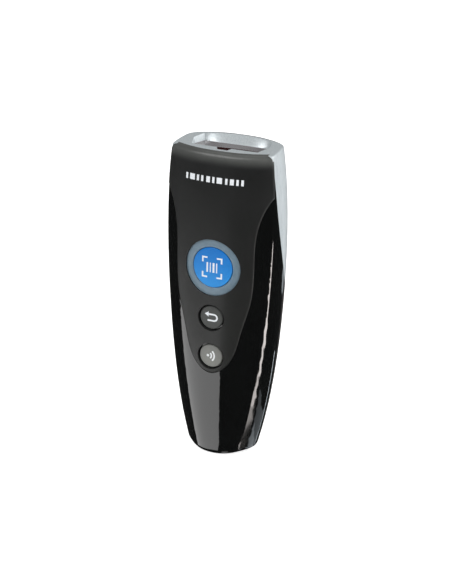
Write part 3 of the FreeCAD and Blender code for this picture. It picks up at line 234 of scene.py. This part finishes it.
def soft_panel():
    """Soft-touch paint: a velvety dark grey with a very fine tooth; painted light makes it lighter to the
    foot, and a painted highlight lightens it at the top rim.
    """
    look = Look("soft_panel")
    # Painted light: the panel's colour runs from a lighter grey at the foot to a darker grey at the top.
    height = look.span(look.axis("Z"), PANEL_FOOT, PANEL_TOP)
    tone = look.mix(height, colour(33, 34, 32), colour(25, 26, 26))
    # Painted highlight: the colour turns pale grey towards the top rim, where the rolled edge would catch
    # the lamps.
    rim = look.span(look.axis("Z"), PANEL_RIM_HIGHLIGHT_FOOT, PANEL_RIM_HIGHLIGHT_TOP, 0.0, 0.6)
    tone = look.mix(rim, tone, colour(112, 114, 111))
    cloud = look.noise(9 * MM, 3.0)
    tooth = look.noise(0.11 * MM, 2.0)
    speck = look.span(look.cells(0.35 * MM), 0.05, 0.3)
    look.set(
        Base_Color=look.mix(look.vary(cloud, 0.0, 0.25), tone, colour(22, 23, 23)),
        Roughness=look.vary(cloud, 0.44, 0.54),
        Specular_IOR_Level=0.42,
        Sheen_Weight=0.08,
        Sheen_Roughness=0.45,
        Coat_Weight=0.3,
        Coat_Roughness=0.22,
        Normal=look.bump(tooth, 0.012 * MM, 0.7, look.bump(speck, 0.006 * MM, 0.4)))
    return look


def gloss_black():
    """Piano-black moulding: deep, with the faintest orange peel and a few hairline wipes."""
    look = Look("gloss_black")
    peel = look.noise(2.6 * MM, 1.0)
    wipes = look.noise(0.22 * MM, 2.0, (1, 1, 0.04))
    smear = look.noise(12 * MM, 4.0)
    look.set(
        Base_Color=look.mix(smear, colour(9, 10, 10), colour(15, 16, 16)),
        Roughness=look.math(
            "ADD", look.span(smear, 0.45, 0.75, 0.045, 0.085), look.span(wipes, 0.62, 0.8, 0, 0.06)),
        Specular_IOR_Level=0.55,
        Coat_Weight=0.6,
        Coat_Roughness=0.03,
        Normal=look.bump(peel, 0.0008 * MM, 0.5))
    return look


def matte_black():
    """Spark-eroded black plastic: warm, dull, with an even pebble."""
    look = Look("matte_black")
    pebble = look.cells(0.28 * MM)
    fine = look.noise(0.09 * MM, 2.0)
    cloud = look.noise(8 * MM, 3.0)
    look.set(
        Base_Color=look.mix(cloud, colour(36, 34, 32), colour(46, 43, 40)),
        Roughness=look.span(pebble, 0.1, 0.7, 0.46, 0.62),
        Specular_IOR_Level=0.45,
        Normal=look.bump(fine, 0.006 * MM, 0.6, look.bump(pebble, 0.02 * MM, 0.7)))
    return look


def silver_bezel():
    """Silver paint: cool, satin, with small flakes and faint marks down the length."""
    look = Look("silver_bezel")
    flake = look.cells(0.13 * MM, "Color")
    streak = look.noise(0.5 * MM, 3.0, (1, 1, 0.05))
    value = look.add("ShaderNodeRGBToBW")
    look.feed(value.inputs["Color"], flake)
    sparkle = value.outputs["Val"]
    look.set(
        Base_Color=look.mix(look.span(streak, 0.35, 0.65), colour(204, 212, 215), colour(216, 223, 226)),
        Metallic=0.25,
        Roughness=look.math(
            "ADD", look.span(sparkle, 0.0, 1.0, 0.26, 0.38), look.vary(streak, 0, 0.06)),
        Specular_IOR_Level=0.6,
        Coat_Weight=0.25,
        Coat_Roughness=0.2,
        Normal=look.bump(sparkle, 0.004 * MM, 0.35, look.bump(streak, 0.006 * MM, 0.25)))
    return look


def light_guide():
    """Milky slate-blue ring that passes light on from the lamps behind it."""
    look = Look("light_guide")
    cloud = look.noise(1.8 * MM, 3.0)
    haze = look.noise(0.12 * MM, 2.0)
    look.set(
        Base_Color=look.mix(cloud, colour(102, 124, 138), colour(128, 148, 162)),
        Roughness=look.vary(haze, 0.28, 0.40),
        Subsurface_Weight=0.5,
        Subsurface_Radius=(0.6, 0.8, 1.0),
        Subsurface_Scale=1.5 * MM,
        Specular_IOR_Level=0.5,
        Coat_Weight=0.3,
        Coat_Roughness=0.15,
        Normal=look.bump(haze, 0.003 * MM, 0.5))
    return look


def key_plastic(name, tone, painted_light_foot_tone, roughness, low, high):
    """Satin key cap with a fine tooth; painted light lifts its colour a little to the lower edge."""
    look = Look(name)
    # Painted light: the colour runs from the cap's own tone at the top to a lighter tone at its lower edge.
    painted_light_fall = look.span(look.axis("Z"), low, high)
    tooth = look.noise(0.1 * MM, 2.0)
    wear = look.noise(1.6 * MM, 3.0)
    look.set(
        Base_Color=look.mix(
            look.span(wear, 0.35, 0.7, 0.0, 0.12), look.mix(painted_light_fall, painted_light_foot_tone, tone), shade(tone, 0.7)),
        Roughness=look.vary(wear, roughness * 0.88, roughness * 1.12),
        Specular_IOR_Level=0.5,
        Normal=look.bump(tooth, 0.005 * MM, 0.6))
    return look


def window_plastic():
    """Deep red-black scan window, hard coated."""
    look = Look("window_plastic")
    haze = look.noise(3 * MM, 3.0)
    look.set(
        Base_Color=look.mix(haze, (0.05, 0.006, 0.006, 1), (0.09, 0.012, 0.010, 1)),
        Roughness=look.span(haze, 0.4, 0.75, 0.03, 0.08),
        IOR=1.49,
        Transmission_Weight=0.55,
        Coat_Weight=0.6,
        Coat_Roughness=0.03,
        Normal=look.bump(look.noise(4 * MM, 1.0), 0.003 * MM, 0.4))
    return look


def foam():
    """Closed-cell foam gasket."""
    look = Look("foam")
    cell = look.cells(0.22 * MM)
    look.set(
        Base_Color=look.mix(look.span(cell, 0.1, 0.6), colour(16, 16, 17), colour(44, 44, 46)),
        Roughness=0.92,
        Normal=look.bump(cell, 0.05 * MM))
    return look


LABEL_MIDDLE = 72 * MM
BORDER_SIDE = 7.5 * MM
BORDER_TALL = 8.0 * MM
BORDER_THICK = 0.10 * MM
BARS_SIDE = 5.6 * MM
BARS_MIDDLE = 68.6 * MM
BARS_TALL = 2.1 * MM
BAR_SIZE = 0.42 * MM


def label_film():
    """Satin silver polyester label, blank but for a printed border and a block of plain bars."""
    look = Look("label_film")

    def less(value, limit):
        return look.math("LESS_THAN", value, limit)

    def far_from(value, middle):
        return look.math("ABSOLUTE", look.math("SUBTRACT", value, middle))

    across = look.math("ABSOLUTE", look.axis("X"))
    along = far_from(look.axis("Z"), LABEL_MIDDLE)
    border_across = less(far_from(across, BORDER_SIDE), BORDER_THICK)
    border_across = look.math("MULTIPLY", border_across, less(along, BORDER_TALL + BORDER_THICK))
    border_along = less(far_from(along, BORDER_TALL), BORDER_THICK)
    border_along = look.math("MULTIPLY", border_along, less(across, BORDER_SIDE + BORDER_THICK))
    bar_noise = look.noise(BAR_SIZE, 0.0, (1, 0, 0))
    bars = look.math("GREATER_THAN", bar_noise, 0.5)
    bars = look.math("MULTIPLY", bars, less(across, BARS_SIDE))
    bars = look.math("MULTIPLY", bars, less(far_from(look.axis("Z"), BARS_MIDDLE), BARS_TALL))
    ink = look.math("MAXIMUM", bars, look.math("MAXIMUM", border_across, border_along))
    brushed = look.noise(0.12 * MM, 3.0, (0.06, 1, 1))
    paper = look.mix(brushed, colour(168, 171, 172), colour(196, 199, 200))
    look.set(
        Base_Color=look.mix(ink, paper, colour(24, 24, 26)),
        Metallic=look.math("MULTIPLY", look.math("SUBTRACT", 1.0, ink), 0.5),
        Roughness=look.vary(brushed, 0.3, 0.45),
        Normal=look.bump(brushed, 0.002 * MM, 0.4))
    return look


# ---------------------------------------------------------------- inside finishes

def board_green():
    """Circuit board: green solder mask over raised copper runs, with tinned through holes."""
    look = Look("board_green")
    runs_x = look.math("GREATER_THAN", look.lines(0.55 * MM, "X", 1.5), 0.62)
    runs_z = look.math("GREATER_THAN", look.lines(0.7 * MM, "Z", 1.5), 0.66)
    patch = look.math("GREATER_THAN", look.noise(5 * MM, 1.0), 0.5)
    runs = look.mix(patch, runs_x, runs_z)
    holes = look.math("LESS_THAN", look.cells(2.1 * MM), 0.11)
    mask = look.mix(runs, colour(10, 62, 34), colour(26, 96, 52))
    look.set(
        Base_Color=look.mix(holes, mask, colour(190, 186, 170)),
        Metallic=holes,
        Roughness=look.vary(look.noise(0.4 * MM), 0.26, 0.42),
        Coat_Weight=0.3,
        Normal=look.bump(runs, 0.03 * MM, 0.6))
    return look


def flex_film():
    """Amber ribbon with copper runs showing through."""
    look = Look("flex_film")
    runs = look.math("GREATER_THAN", look.lines(0.5 * MM, "X"), 0.45)
    look.set(
        Base_Color=look.mix(runs, colour(150, 84, 22), colour(196, 122, 48)),
        Roughness=look.vary(look.noise(0.6 * MM), 0.25, 0.4),
        Coat_Weight=0.4,
        Normal=look.bump(runs, 0.02 * MM, 0.5))
    return look


def battery_sleeve():
    """Blue shrink sleeve with faint gathers."""
    look = Look("battery_sleeve")
    gathers = look.noise(1.2 * MM, 2.0, (1, 1, 0.15))
    look.set(
        Base_Color=look.mix(look.noise(7 * MM), colour(38, 66, 104), colour(46, 78, 122)),
        Roughness=look.vary(gathers, 0.28, 0.42),
        Coat_Weight=0.3,
        Normal=look.bump(gathers, 0.05 * MM, 0.5))
    return look


def chip_black():
    """Epoxy package, sandy and dull."""
    look = Look("chip_black")
    sand = look.noise(0.07 * MM, 2.0)
    look.set(
        Base_Color=look.mix(sand, colour(24, 25, 27), colour(44, 45, 48)),
        Roughness=look.vary(sand, 0.55, 0.75),
        Normal=look.bump(sand, 0.008 * MM, 0.8))
    return look


def lens_glass():
    """Coated glass with a violet-green bloom."""
    look = Look("lens_glass")
    facing = look.add("ShaderNodeLayerWeight")
    facing.inputs["Blend"].default_value = 0.35
    bloom = look.mix(facing.outputs["Facing"], colour(112, 90, 168), colour(70, 150, 120))
    look.set(
        Base_Color=look.mix(look.noise(1.5 * MM), bloom, colour(70, 86, 132)),
        Roughness=look.span(look.noise(0.8 * MM), 0.4, 0.8, 0.02, 0.06),
        Transmission_Weight=0.7,
        IOR=1.6,
        Coat_Weight=1.0,
        Coat_Roughness=0.02)
    return look


def sensor_face():
    """Image chip: a fine grid with a shifting blue-violet sheen."""
    look = Look("sensor_face")
    grid = look.math("MAXIMUM", look.lines(0.09 * MM, "X"), look.lines(0.09 * MM, "Z"))
    facing = look.add("ShaderNodeLayerWeight")
    look.set(
        Base_Color=look.mix(facing.outputs["Facing"], colour(40, 54, 110), colour(110, 70, 130)),
        Metallic=0.6,
        Roughness=look.span(grid, 0.2, 0.9, 0.15, 0.35),
        Normal=look.bump(grid, 0.004 * MM, 0.5))
    return look


def led_white():
    """Small lamp package: yellowish lens with a pale rim."""
    look = Look("led_white")
    dots = look.cells(0.5 * MM)
    look.set(
        Base_Color=look.mix(look.span(dots, 0.1, 0.4), colour(232, 206, 92), colour(226, 226, 216)),
        Roughness=look.span(dots, 0.1, 0.6, 0.2, 0.4),
        Subsurface_Weight=0.2,
        Subsurface_Scale=0.5 * MM,
        Normal=look.bump(dots, 0.01 * MM, 0.5))
    return look


# The trigger's own blue, and a lighter blue painted on as light at its lower edge.
BLUE_TOP = colour(0, 116, 202)
BLUE_FOOT_PAINTED_LIGHT = colour(36, 146, 226)
trigger_low, trigger_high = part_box("trigger_button")
undo_low, undo_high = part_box("undo_key")
link_low, link_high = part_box("link_key")

# The undo and link keys' own greys, and lighter greys painted on as light at their lower edges.
DARK_TOP = colour(70, 72, 70)
DARK_FOOT_PAINTED_LIGHT = colour(78, 80, 78)
GREY_TOP = colour(122, 123, 119)
GREY_FOOT_PAINTED_LIGHT = colour(136, 137, 132)

FINISHES = [
    (soft_panel(), ["front_panel"]),
    (gloss_black(), ["front_shell"]),
    (matte_black(), ["rear_shell", "battery_cover"]),
    (silver_bezel(), ["window_bezel"]),
    (window_plastic(), ["scan_window"]),
    (foam(), ["window_gasket"]),
    (moulded("seal_rubber", colour(26, 26, 28), 0.7, 0.2 * MM, 0.012 * MM), ["perimeter_seal"]),
    (label_film(), ["rear_label"]),
    (light_guide(), ["light_ring"]),
    (key_plastic("blue_key", BLUE_TOP, BLUE_FOOT_PAINTED_LIGHT, 0.34, trigger_low.z, trigger_high.z), ["trigger_button"]),
    (key_plastic("dark_key", DARK_TOP, DARK_FOOT_PAINTED_LIGHT, 0.42, undo_low.z, undo_high.z), ["undo_key"]),
    (key_plastic("grey_key", GREY_TOP, GREY_FOOT_PAINTED_LIGHT, 0.40, link_low.z, link_high.z), ["link_key"]),
    (board_green(), ["main_board", "radio_board", "sensor_board"]),
    (moulded("silicone_pad", colour(150, 152, 156), 0.6, 0.2 * MM, 0.01 * MM), ["key_pad"]),
    (metal("steel", colour(196, 198, 200), 0.28),
     ["dome_switches", "radio_shield", "charging_socket", "motor_can", "motor_shaft"]),
    (led_white(), ["ring_leds", "aimer_led", "flood_leds"]),
    (chip_black(), ["processor", "memory_chip", "charger_chip"]),
    (moulded("ceramic_antenna", colour(206, 202, 190), 0.55, 0.1 * MM, 0.006 * MM), ["chip_antenna"]),
    (moulded("frame_plastic", colour(52, 54, 58), 0.5, 0.18 * MM, 0.012 * MM), ["inner_frame", "beeper"]),
    (battery_sleeve(), ["battery_pack"]),
    (metal("contact_gold", colour(222, 180, 92), 0.22), ["contact_pins"]),
    (moulded("optic_black", colour(20, 20, 22), 0.62, 0.12 * MM, 0.012 * MM),
     ["imager_housing", "lens_barrel", "imager_bracket", "contact_block"]),
    (lens_glass(), ["imager_lens"]),
    (sensor_face(), ["image_sensor"]),
    (flex_film(), ["imager_flex"]),
    (moulded("flap_rubber", colour(30, 30, 31), 0.66, 0.16 * MM, 0.012 * MM), ["charge_flap"]),
    (metal("tungsten_weight", colour(120, 122, 126), 0.4, 0.15 * MM, 0.006 * MM), ["motor_weight"]),
    (metal("screw_steel", colour(112, 114, 118), 0.3), ["case_screws", "board_screws", "flap_pin"]),
    (moulded("plug_rubber", colour(34, 33, 32), 0.7, 0.16 * MM, 0.012 * MM), ["screw_plugs"]),
]

for look, names in FINISHES:
    dress(look, *names)


# ---------------------------------------------------------------- printed marks

INK_LIFT = 0.03 * MM
INK_SINK = 0.05 * MM
FRONT_REACH = 50 * MM
ROW_CORNERS = 4
SHARPEST_MITRE = 0.4
THINNEST = 0.02 * MM


def front_surface(name):
    """A function that gives the depth of this node's front face at a point across and up."""
    tree = BVHTree.FromObject(NODES[name], bpy.context.evaluated_depsgraph_get())

    def depth(across, up):
        place = tree.ray_cast(Vector((across, -FRONT_REACH, up)), Vector((0, 1, 0)))[0]
        if place is None:
            raise ValueError("a printed mark runs off its surface")
        return place.y

    return depth


def side_step(path, index):
    """Step across a path at one of its points, with the length that keeps a mitred corner even."""
    here = path[index]
    legs = []
    if index > 0:
        before = path[index - 1]
        legs.append((here[0] - before[0], here[1] - before[1]))
    if index < len(path) - 1:
        after = path[index + 1]
        legs.append((after[0] - here[0], after[1] - here[1]))
    normals = []
    for leg in legs:
        length = math.hypot(*leg)
        normals.append((-leg[1] / length, leg[0] / length))
    total = (sum(n[0] for n in normals), sum(n[1] for n in normals))
    length = math.hypot(*total)
    unit = (total[0] / length, total[1] / length)
    stretch = 1.0 / max(SHARPEST_MITRE, unit[0] * normals[0][0] + unit[1] * normals[0][1])
    return (unit[0] * stretch, unit[1] * stretch)


def ribbon(path, width):
    """Rows of left and right points along a path; the width may be one per point."""
    rows = []
    for index, point in enumerate(path):
        half = (width[index] if isinstance(width, (list, tuple)) else width) / 2
        step = side_step(path, index)
        left = (point[0] + step[0] * half, point[1] + step[1] * half)
        right = (point[0] - step[0] * half, point[1] - step[1] * half)
        rows.append((left, right))
    return rows


def add_ribbon(vertices, faces, rows, depth):
    """Builds one ribbon as a closed sliver that lies on the surface."""
    start = len(vertices)
    for row in rows:
        for across, up in row:
            level = depth(across, up)
            vertices.append((across, level - INK_LIFT, up))
            vertices.append((across, level + INK_SINK, up))
    end = start + ROW_CORNERS * (len(rows) - 1)
    for a in range(start, end, ROW_CORNERS):
        b = a + ROW_CORNERS
        faces.append((a, a + 2, b + 2, b))
        faces.append((a + 1, b + 1, b + 3, a + 3))
        faces.append((a, b, b + 1, a + 1))
        faces.append((a + 2, a + 3, b + 3, b + 2))
    faces.append((start, start + 1, start + 3, start + 2))
    faces.append((end, end + 2, end + 3, end + 1))


def printed(name, strips, surface_node, body, look):
    """A printed mark made of ribbons laid on the front of a CAD node."""
    depth = front_surface(surface_node)
    vertices, faces = [], []
    for strip in strips:
        add_ribbon(vertices, faces, strip, depth)
    mesh = bpy.data.meshes.new(name)
    mesh.from_pydata(vertices, [], faces)
    mesh.validate()
    mesh.materials.append(look.material)
    piece = bpy.data.objects.new(name, mesh)
    bpy.context.scene.collection.objects.link(piece)
    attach(piece, body)


def line(start, end, steps=6):
    return [(start[0] + (end[0] - start[0]) * i / steps, start[1] + (end[1] - start[1]) * i / steps)
            for i in range(steps + 1)]


def arc(centre, radius, start, end, steps=24):
    """Points round a centre, with angles in degrees anticlockwise from the right."""
    points = []
    for i in range(steps + 1):
        angle = math.radians(start + (end - start) * i / steps)
        points.append((centre[0] + radius * math.cos(angle), centre[1] + radius * math.sin(angle)))
    return points


def disc(centre, radius, steps=16):
    """A filled round made of one ribbon that swells and narrows."""
    path, widths = [], []
    for i in range(steps + 1):
        angle = math.pi * i / steps
        path.append((centre[0] - radius * math.cos(angle), centre[1]))
        widths.append(max(THINNEST, 2 * radius * math.sin(angle)))
    return ribbon(path, widths)


def ink(name, tone):
    """Screen-printed ink: thick, slightly patchy, with a soft edge to its polish."""
    look = Look(name)
    patch = look.noise(0.3 * MM, 3.0)
    look.set(
        Base_Color=look.mix(look.span(patch, 0.35, 0.75), tone, shade(tone, 0.86)),
        Roughness=look.vary(patch, 0.38, 0.5),
        Normal=look.bump(look.noise(0.12 * MM, 2.0), 0.006 * MM, 0.5))
    return look


white_ink = ink("white_ink", colour(242, 246, 250))
grey_ink = ink("grey_ink", colour(240, 243, 244))

MARK_LEFT = -12.1 * MM
MARK_FOOT = 110.7 * MM
MARK_TALL = 2.2 * MM
BAR_WIDTHS = [0.9, 2.1, 0.9, 0.9, 1.5, 0.9, 2.1, 0.9, 1.5, 0.9, 0.9]
BAR_GAPS = [0.9, 0.9, 0.9, 1.2, 0.9, 0.9, 1.2, 0.9, 0.9, 0.9]


def bar_strip():
    """A strip of plain bars of uneven width."""
    strips = []
    across = MARK_LEFT
    for index, wide in enumerate(BAR_WIDTHS):
        middle = across + wide * MM / 2
        strips.append(ribbon(line((middle, MARK_FOOT), (middle, MARK_FOOT + MARK_TALL)), wide * MM))
        gap = BAR_GAPS[index] if index < len(BAR_GAPS) else 0.0
        across += (wide + gap) * MM
    return strips


def scan_icon(centre, half, thick):
    """Four corner brackets round a few upright bars."""
    strips = []
    arm = half * 0.5
    foot = centre[1] - half * 0.5
    top = centre[1] + half * 0.5
    for right in (-1, 1):
        for upper in (-1, 1):
            corner = (centre[0] + right * half, centre[1] + upper * half)
            path = [(corner[0] - right * arm, corner[1]), corner, (corner[0], corner[1] - upper * arm)]
            strips.append(ribbon(path, thick))
    for offset, share in ((-0.5, 1.0), (-0.17, 0.6), (0.17, 1.2), (0.5, 0.7)):
        across = centre[0] + offset * half
        strips.append(ribbon(line((across, foot), (across, top)), thick * share))
    return strips


HEAD_STEPS = 5
TIP_WIDTH = 0.03 * MM


def undo_icon(centre, radius, thick):
    """An arrow from the lower left that runs right, turns round and points back to the left."""
    bend_radius = radius * 0.62
    top = centre[1] + bend_radius
    foot = centre[1] - bend_radius
    turn = centre[0] + radius * 0.55
    bend = arc((turn, centre[1]), bend_radius, 90, -90)
    upper = line((centre[0] - radius * 0.7, top), (turn, top), 4)
    lower = line((turn, foot), (centre[0] - radius * 0.75, foot), 4)
    shaft = ribbon(upper[:-1] + bend + lower[1:], thick)
    tip = centre[0] - radius * 1.35
    base = centre[0] - radius * 0.55
    head_path = line((tip, top), (base, top), HEAD_STEPS)
    head_width = radius * 1.05
    widths = [max(TIP_WIDTH, head_width * i / HEAD_STEPS) for i in range(HEAD_STEPS + 1)]
    return [shaft, ribbon(head_path, widths)]


WAVE_SPREAD = 48
WAVE_STEPS = 16


def wireless_icon(centre, radius, thick):
    """Two arcs that spread from a dot."""
    origin = (centre[0] - radius * 0.75, centre[1])
    strips = [disc(origin, thick * 0.85)]
    for share in (0.9, 1.62):
        wave = arc(origin, radius * share, -WAVE_SPREAD, WAVE_SPREAD, WAVE_STEPS)
        strips.append(ribbon(wave, thick))
    return strips


def middle_of(low, high):
    """Middle of a node's box, across and up."""
    return ((low.x + high.x) / 2, (low.z + high.z) / 2)


trigger_centre = middle_of(trigger_low, trigger_high)
undo_centre = middle_of(undo_low, undo_high)
link_centre = middle_of(link_low, link_high)

SCAN_HALF = 3.8 * MM
UNDO_RADIUS = 2.0 * MM
LINK_RADIUS = 1.6 * MM
THIN_LINE = 0.62 * MM
BOLD_LINE = 0.66 * MM

bar_mark = bar_strip()
scan_mark = scan_icon(trigger_centre, SCAN_HALF, THIN_LINE)
undo_mark = undo_icon(undo_centre, UNDO_RADIUS, BOLD_LINE)
link_mark = wireless_icon(link_centre, LINK_RADIUS, THIN_LINE)

printed("bar_mark", bar_mark, "front_panel", "casing", white_ink)
printed("scan_mark", scan_mark, "trigger_button", "trigger", white_ink)
printed("undo_mark", undo_mark, "undo_key", "undo", white_ink)
printed("link_mark", link_mark, "link_key", "link", grey_ink)


# ---------------------------------------------------------------- floor, world, lights

BODY_MIDDLE = Vector((0.0, 0.0, (cad_box[0].z + cad_box[1].z) / 2))
FLOOR_HALF = 4.0
FLOOR_GLOW = 0.75
CAMERA_STRENGTH = 1.0
FILL_STRENGTH = 0.3
MIRROR_STRENGTH = 0.02
LAMP_DISTANCE = 2.0
WHITE = (1.0, 1.0, 1.0)
WARM = (1.0, 0.94, 0.91)
COOL = (0.86, 0.94, 1.0)


def away(azimuth, elevation):
    """Unit vector from the object to a place round it; azimuth 0 is in front and 90 to its right."""
    turn = math.radians(azimuth)
    rise = math.radians(elevation)
    return Vector((math.sin(turn) * math.cos(rise), -math.cos(turn) * math.cos(rise), math.sin(rise)))


def pale_floor():
    """A wide plain floor: white to the camera, absent from reflections, and no bar to the lamps below it."""
    mesh = bpy.data.meshes.new("floor")
    corners = [(x * FLOOR_HALF, y * FLOOR_HALF, 0) for x, y in ((-1, -1), (1, -1), (1, 1), (-1, 1))]
    mesh.from_pydata(corners, [], [(0, 1, 2, 3)])
    floor = bpy.data.objects.new("floor", mesh)
    bpy.context.scene.collection.objects.link(floor)
    look = Look("floor")
    look.set(Base_Color=(0.86, 0.86, 0.86, 1), Roughness=0.9, Specular_IOR_Level=0.1)
    glow = look.add("ShaderNodeEmission")
    glow.inputs["Strength"].default_value = FLOOR_GLOW
    path = look.add("ShaderNodeLightPath")
    both = look.add("ShaderNodeAddShader")
    pick = look.add("ShaderNodeMixShader")
    look.feed(both.inputs[0], look.surface.outputs["BSDF"])
    look.feed(both.inputs[1], glow.outputs["Emission"])
    look.feed(pick.inputs["Fac"], path.outputs["Is Camera Ray"])
    look.feed(pick.inputs[1], look.surface.outputs["BSDF"])
    look.feed(pick.inputs[2], both.outputs["Shader"])
    look.feed(look.output.inputs["Surface"], pick.outputs["Shader"])
    mesh.materials.append(look.material)
    floor.visible_glossy = False
    floor.visible_shadow = False


def studio_world():
    """Pale to the camera, a dim even fill on the object, and dark in its reflections."""
    world = bpy.data.worlds.new("studio")
    bpy.context.scene.world = world
    world.use_nodes = True
    tree = world.node_tree
    tree.nodes.clear()
    output = tree.nodes.new("ShaderNodeOutputWorld")
    path = tree.nodes.new("ShaderNodeLightPath")
    tones = {}
    strengths = {"camera": CAMERA_STRENGTH, "fill": FILL_STRENGTH, "mirror": MIRROR_STRENGTH}
    for kind, strength in strengths.items():
        node = tree.nodes.new("ShaderNodeBackground")
        node.inputs["Strength"].default_value = strength
        tones[kind] = node.outputs["Background"]
    glossy = tree.nodes.new("ShaderNodeMixShader")
    seen = tree.nodes.new("ShaderNodeMixShader")
    link = tree.links.new
    link(path.outputs["Is Glossy Ray"], glossy.inputs["Fac"])
    link(tones["fill"], glossy.inputs[1])
    link(tones["mirror"], glossy.inputs[2])
    link(path.outputs["Is Camera Ray"], seen.inputs["Fac"])
    link(glossy.outputs["Shader"], seen.inputs[1])
    link(tones["camera"], seen.inputs[2])
    link(seen.outputs["Shader"], output.inputs["Surface"])


def softbox(name, turn, rise, brightness, tone=WHITE):
    """A flat lamp out of the camera's sight that fills these azimuths and elevations, in degrees."""
    elevation = (rise[0] + rise[1]) / 2
    direction = away((turn[0] + turn[1]) / 2, elevation)
    across = math.tan(math.radians(turn[1] - turn[0]) / 2) * math.cos(math.radians(elevation))
    upwards = math.tan(math.radians(rise[1] - rise[0]) / 2)
    wide = 2 * LAMP_DISTANCE * across
    tall = 2 * LAMP_DISTANCE * upwards
    lamp = bpy.data.lights.new(name, "AREA")
    lamp.shape = "RECTANGLE"
    lamp.size = wide
    lamp.size_y = tall
    lamp.energy = brightness * math.pi * wide * tall
    lamp.color = tone
    holder = bpy.data.objects.new(name, lamp)
    bpy.context.scene.collection.objects.link(holder)
    holder.location = BODY_MIDDLE + direction * LAMP_DISTANCE
    holder.rotation_mode = "QUATERNION"
    holder.rotation_quaternion = direction.to_track_quat("Z", "Y")
    holder.visible_camera = False


pale_floor()
studio_world()
softbox("front_box", (-84, -9), (-50, -23), 1.8)
softbox("top_box", (-58, 0), (36, 60), 5.0)
softbox("crease_high_strip", (74, 83), (-31, -19.5), 9.0, WARM)
softbox("crease_mid_strip", (74, 80), (-35, -31), 8.0, WARM)
softbox("crease_low_strip", (73, 77.5), (-40, -35), 6.0, WARM)
softbox("crease_foot_strip", (72.5, 78.2), (-50, -40), 3.0, WARM)
softbox("foot_box", (92, 141), (-62, -38), 0.5, COOL)
softbox("foot_low_box", (92, 141), (-62, -44), 0.8, COOL)
softbox("foot_edge_strip", (142, 147), (-55, -28), 3.0, COOL)
softbox("right_box", (55, 145), (2, 50), 2.2)
softbox("right_rim_strip", (153, 159), (-22, 0), 1.0, COOL)
softbox("table_bounce", (0, 60), (-90, -66), 1.6)
softbox("back_box", (170, 230), (50, 75), 0.9)


# ---------------------------------------------------------------- camera

VIEW_AZIMUTH = 23.0
VIEW_ELEVATION = 21.0
VIEW_ROLL = math.radians(1.4)
VIEW_DISTANCE = 0.620
AIM_HEIGHT = 0.0615
LENS = 100.14
SENSOR_WIDE = 36.0
LONG_SIDE = 584
DRAWN_LOWER = 6.0
DRAWN_LEFT = 0.5


def place_camera():
    """A long lens from the right and above, rolled a little."""
    data = bpy.data.cameras.new("view")
    data.lens = LENS
    data.sensor_width = SENSOR_WIDE
    data.shift_x = DRAWN_LEFT / LONG_SIDE
    data.shift_y = DRAWN_LOWER / LONG_SIDE
    data.clip_start = 0.01
    data.clip_end = 20.0
    camera = bpy.data.objects.new("view", data)
    bpy.context.scene.collection.objects.link(camera)
    back = away(VIEW_AZIMUTH, VIEW_ELEVATION)
    turn = math.radians(VIEW_AZIMUTH)
    right = Vector((math.cos(turn), math.sin(turn), 0.0))
    up = back.cross(right)
    rolled_right = right * math.cos(VIEW_ROLL) + up * math.sin(VIEW_ROLL)
    rolled_up = up * math.cos(VIEW_ROLL) - right * math.sin(VIEW_ROLL)
    frame_axes = Matrix((rolled_right, rolled_up, back)).transposed()
    place = Vector((0, 0, AIM_HEIGHT)) + back * VIEW_DISTANCE
    camera.matrix_world = Matrix.Translation(place) @ frame_axes.to_4x4()
    bpy.context.scene.camera = camera


place_camera()
bpy.context.scene.view_settings.view_transform = "Standard"
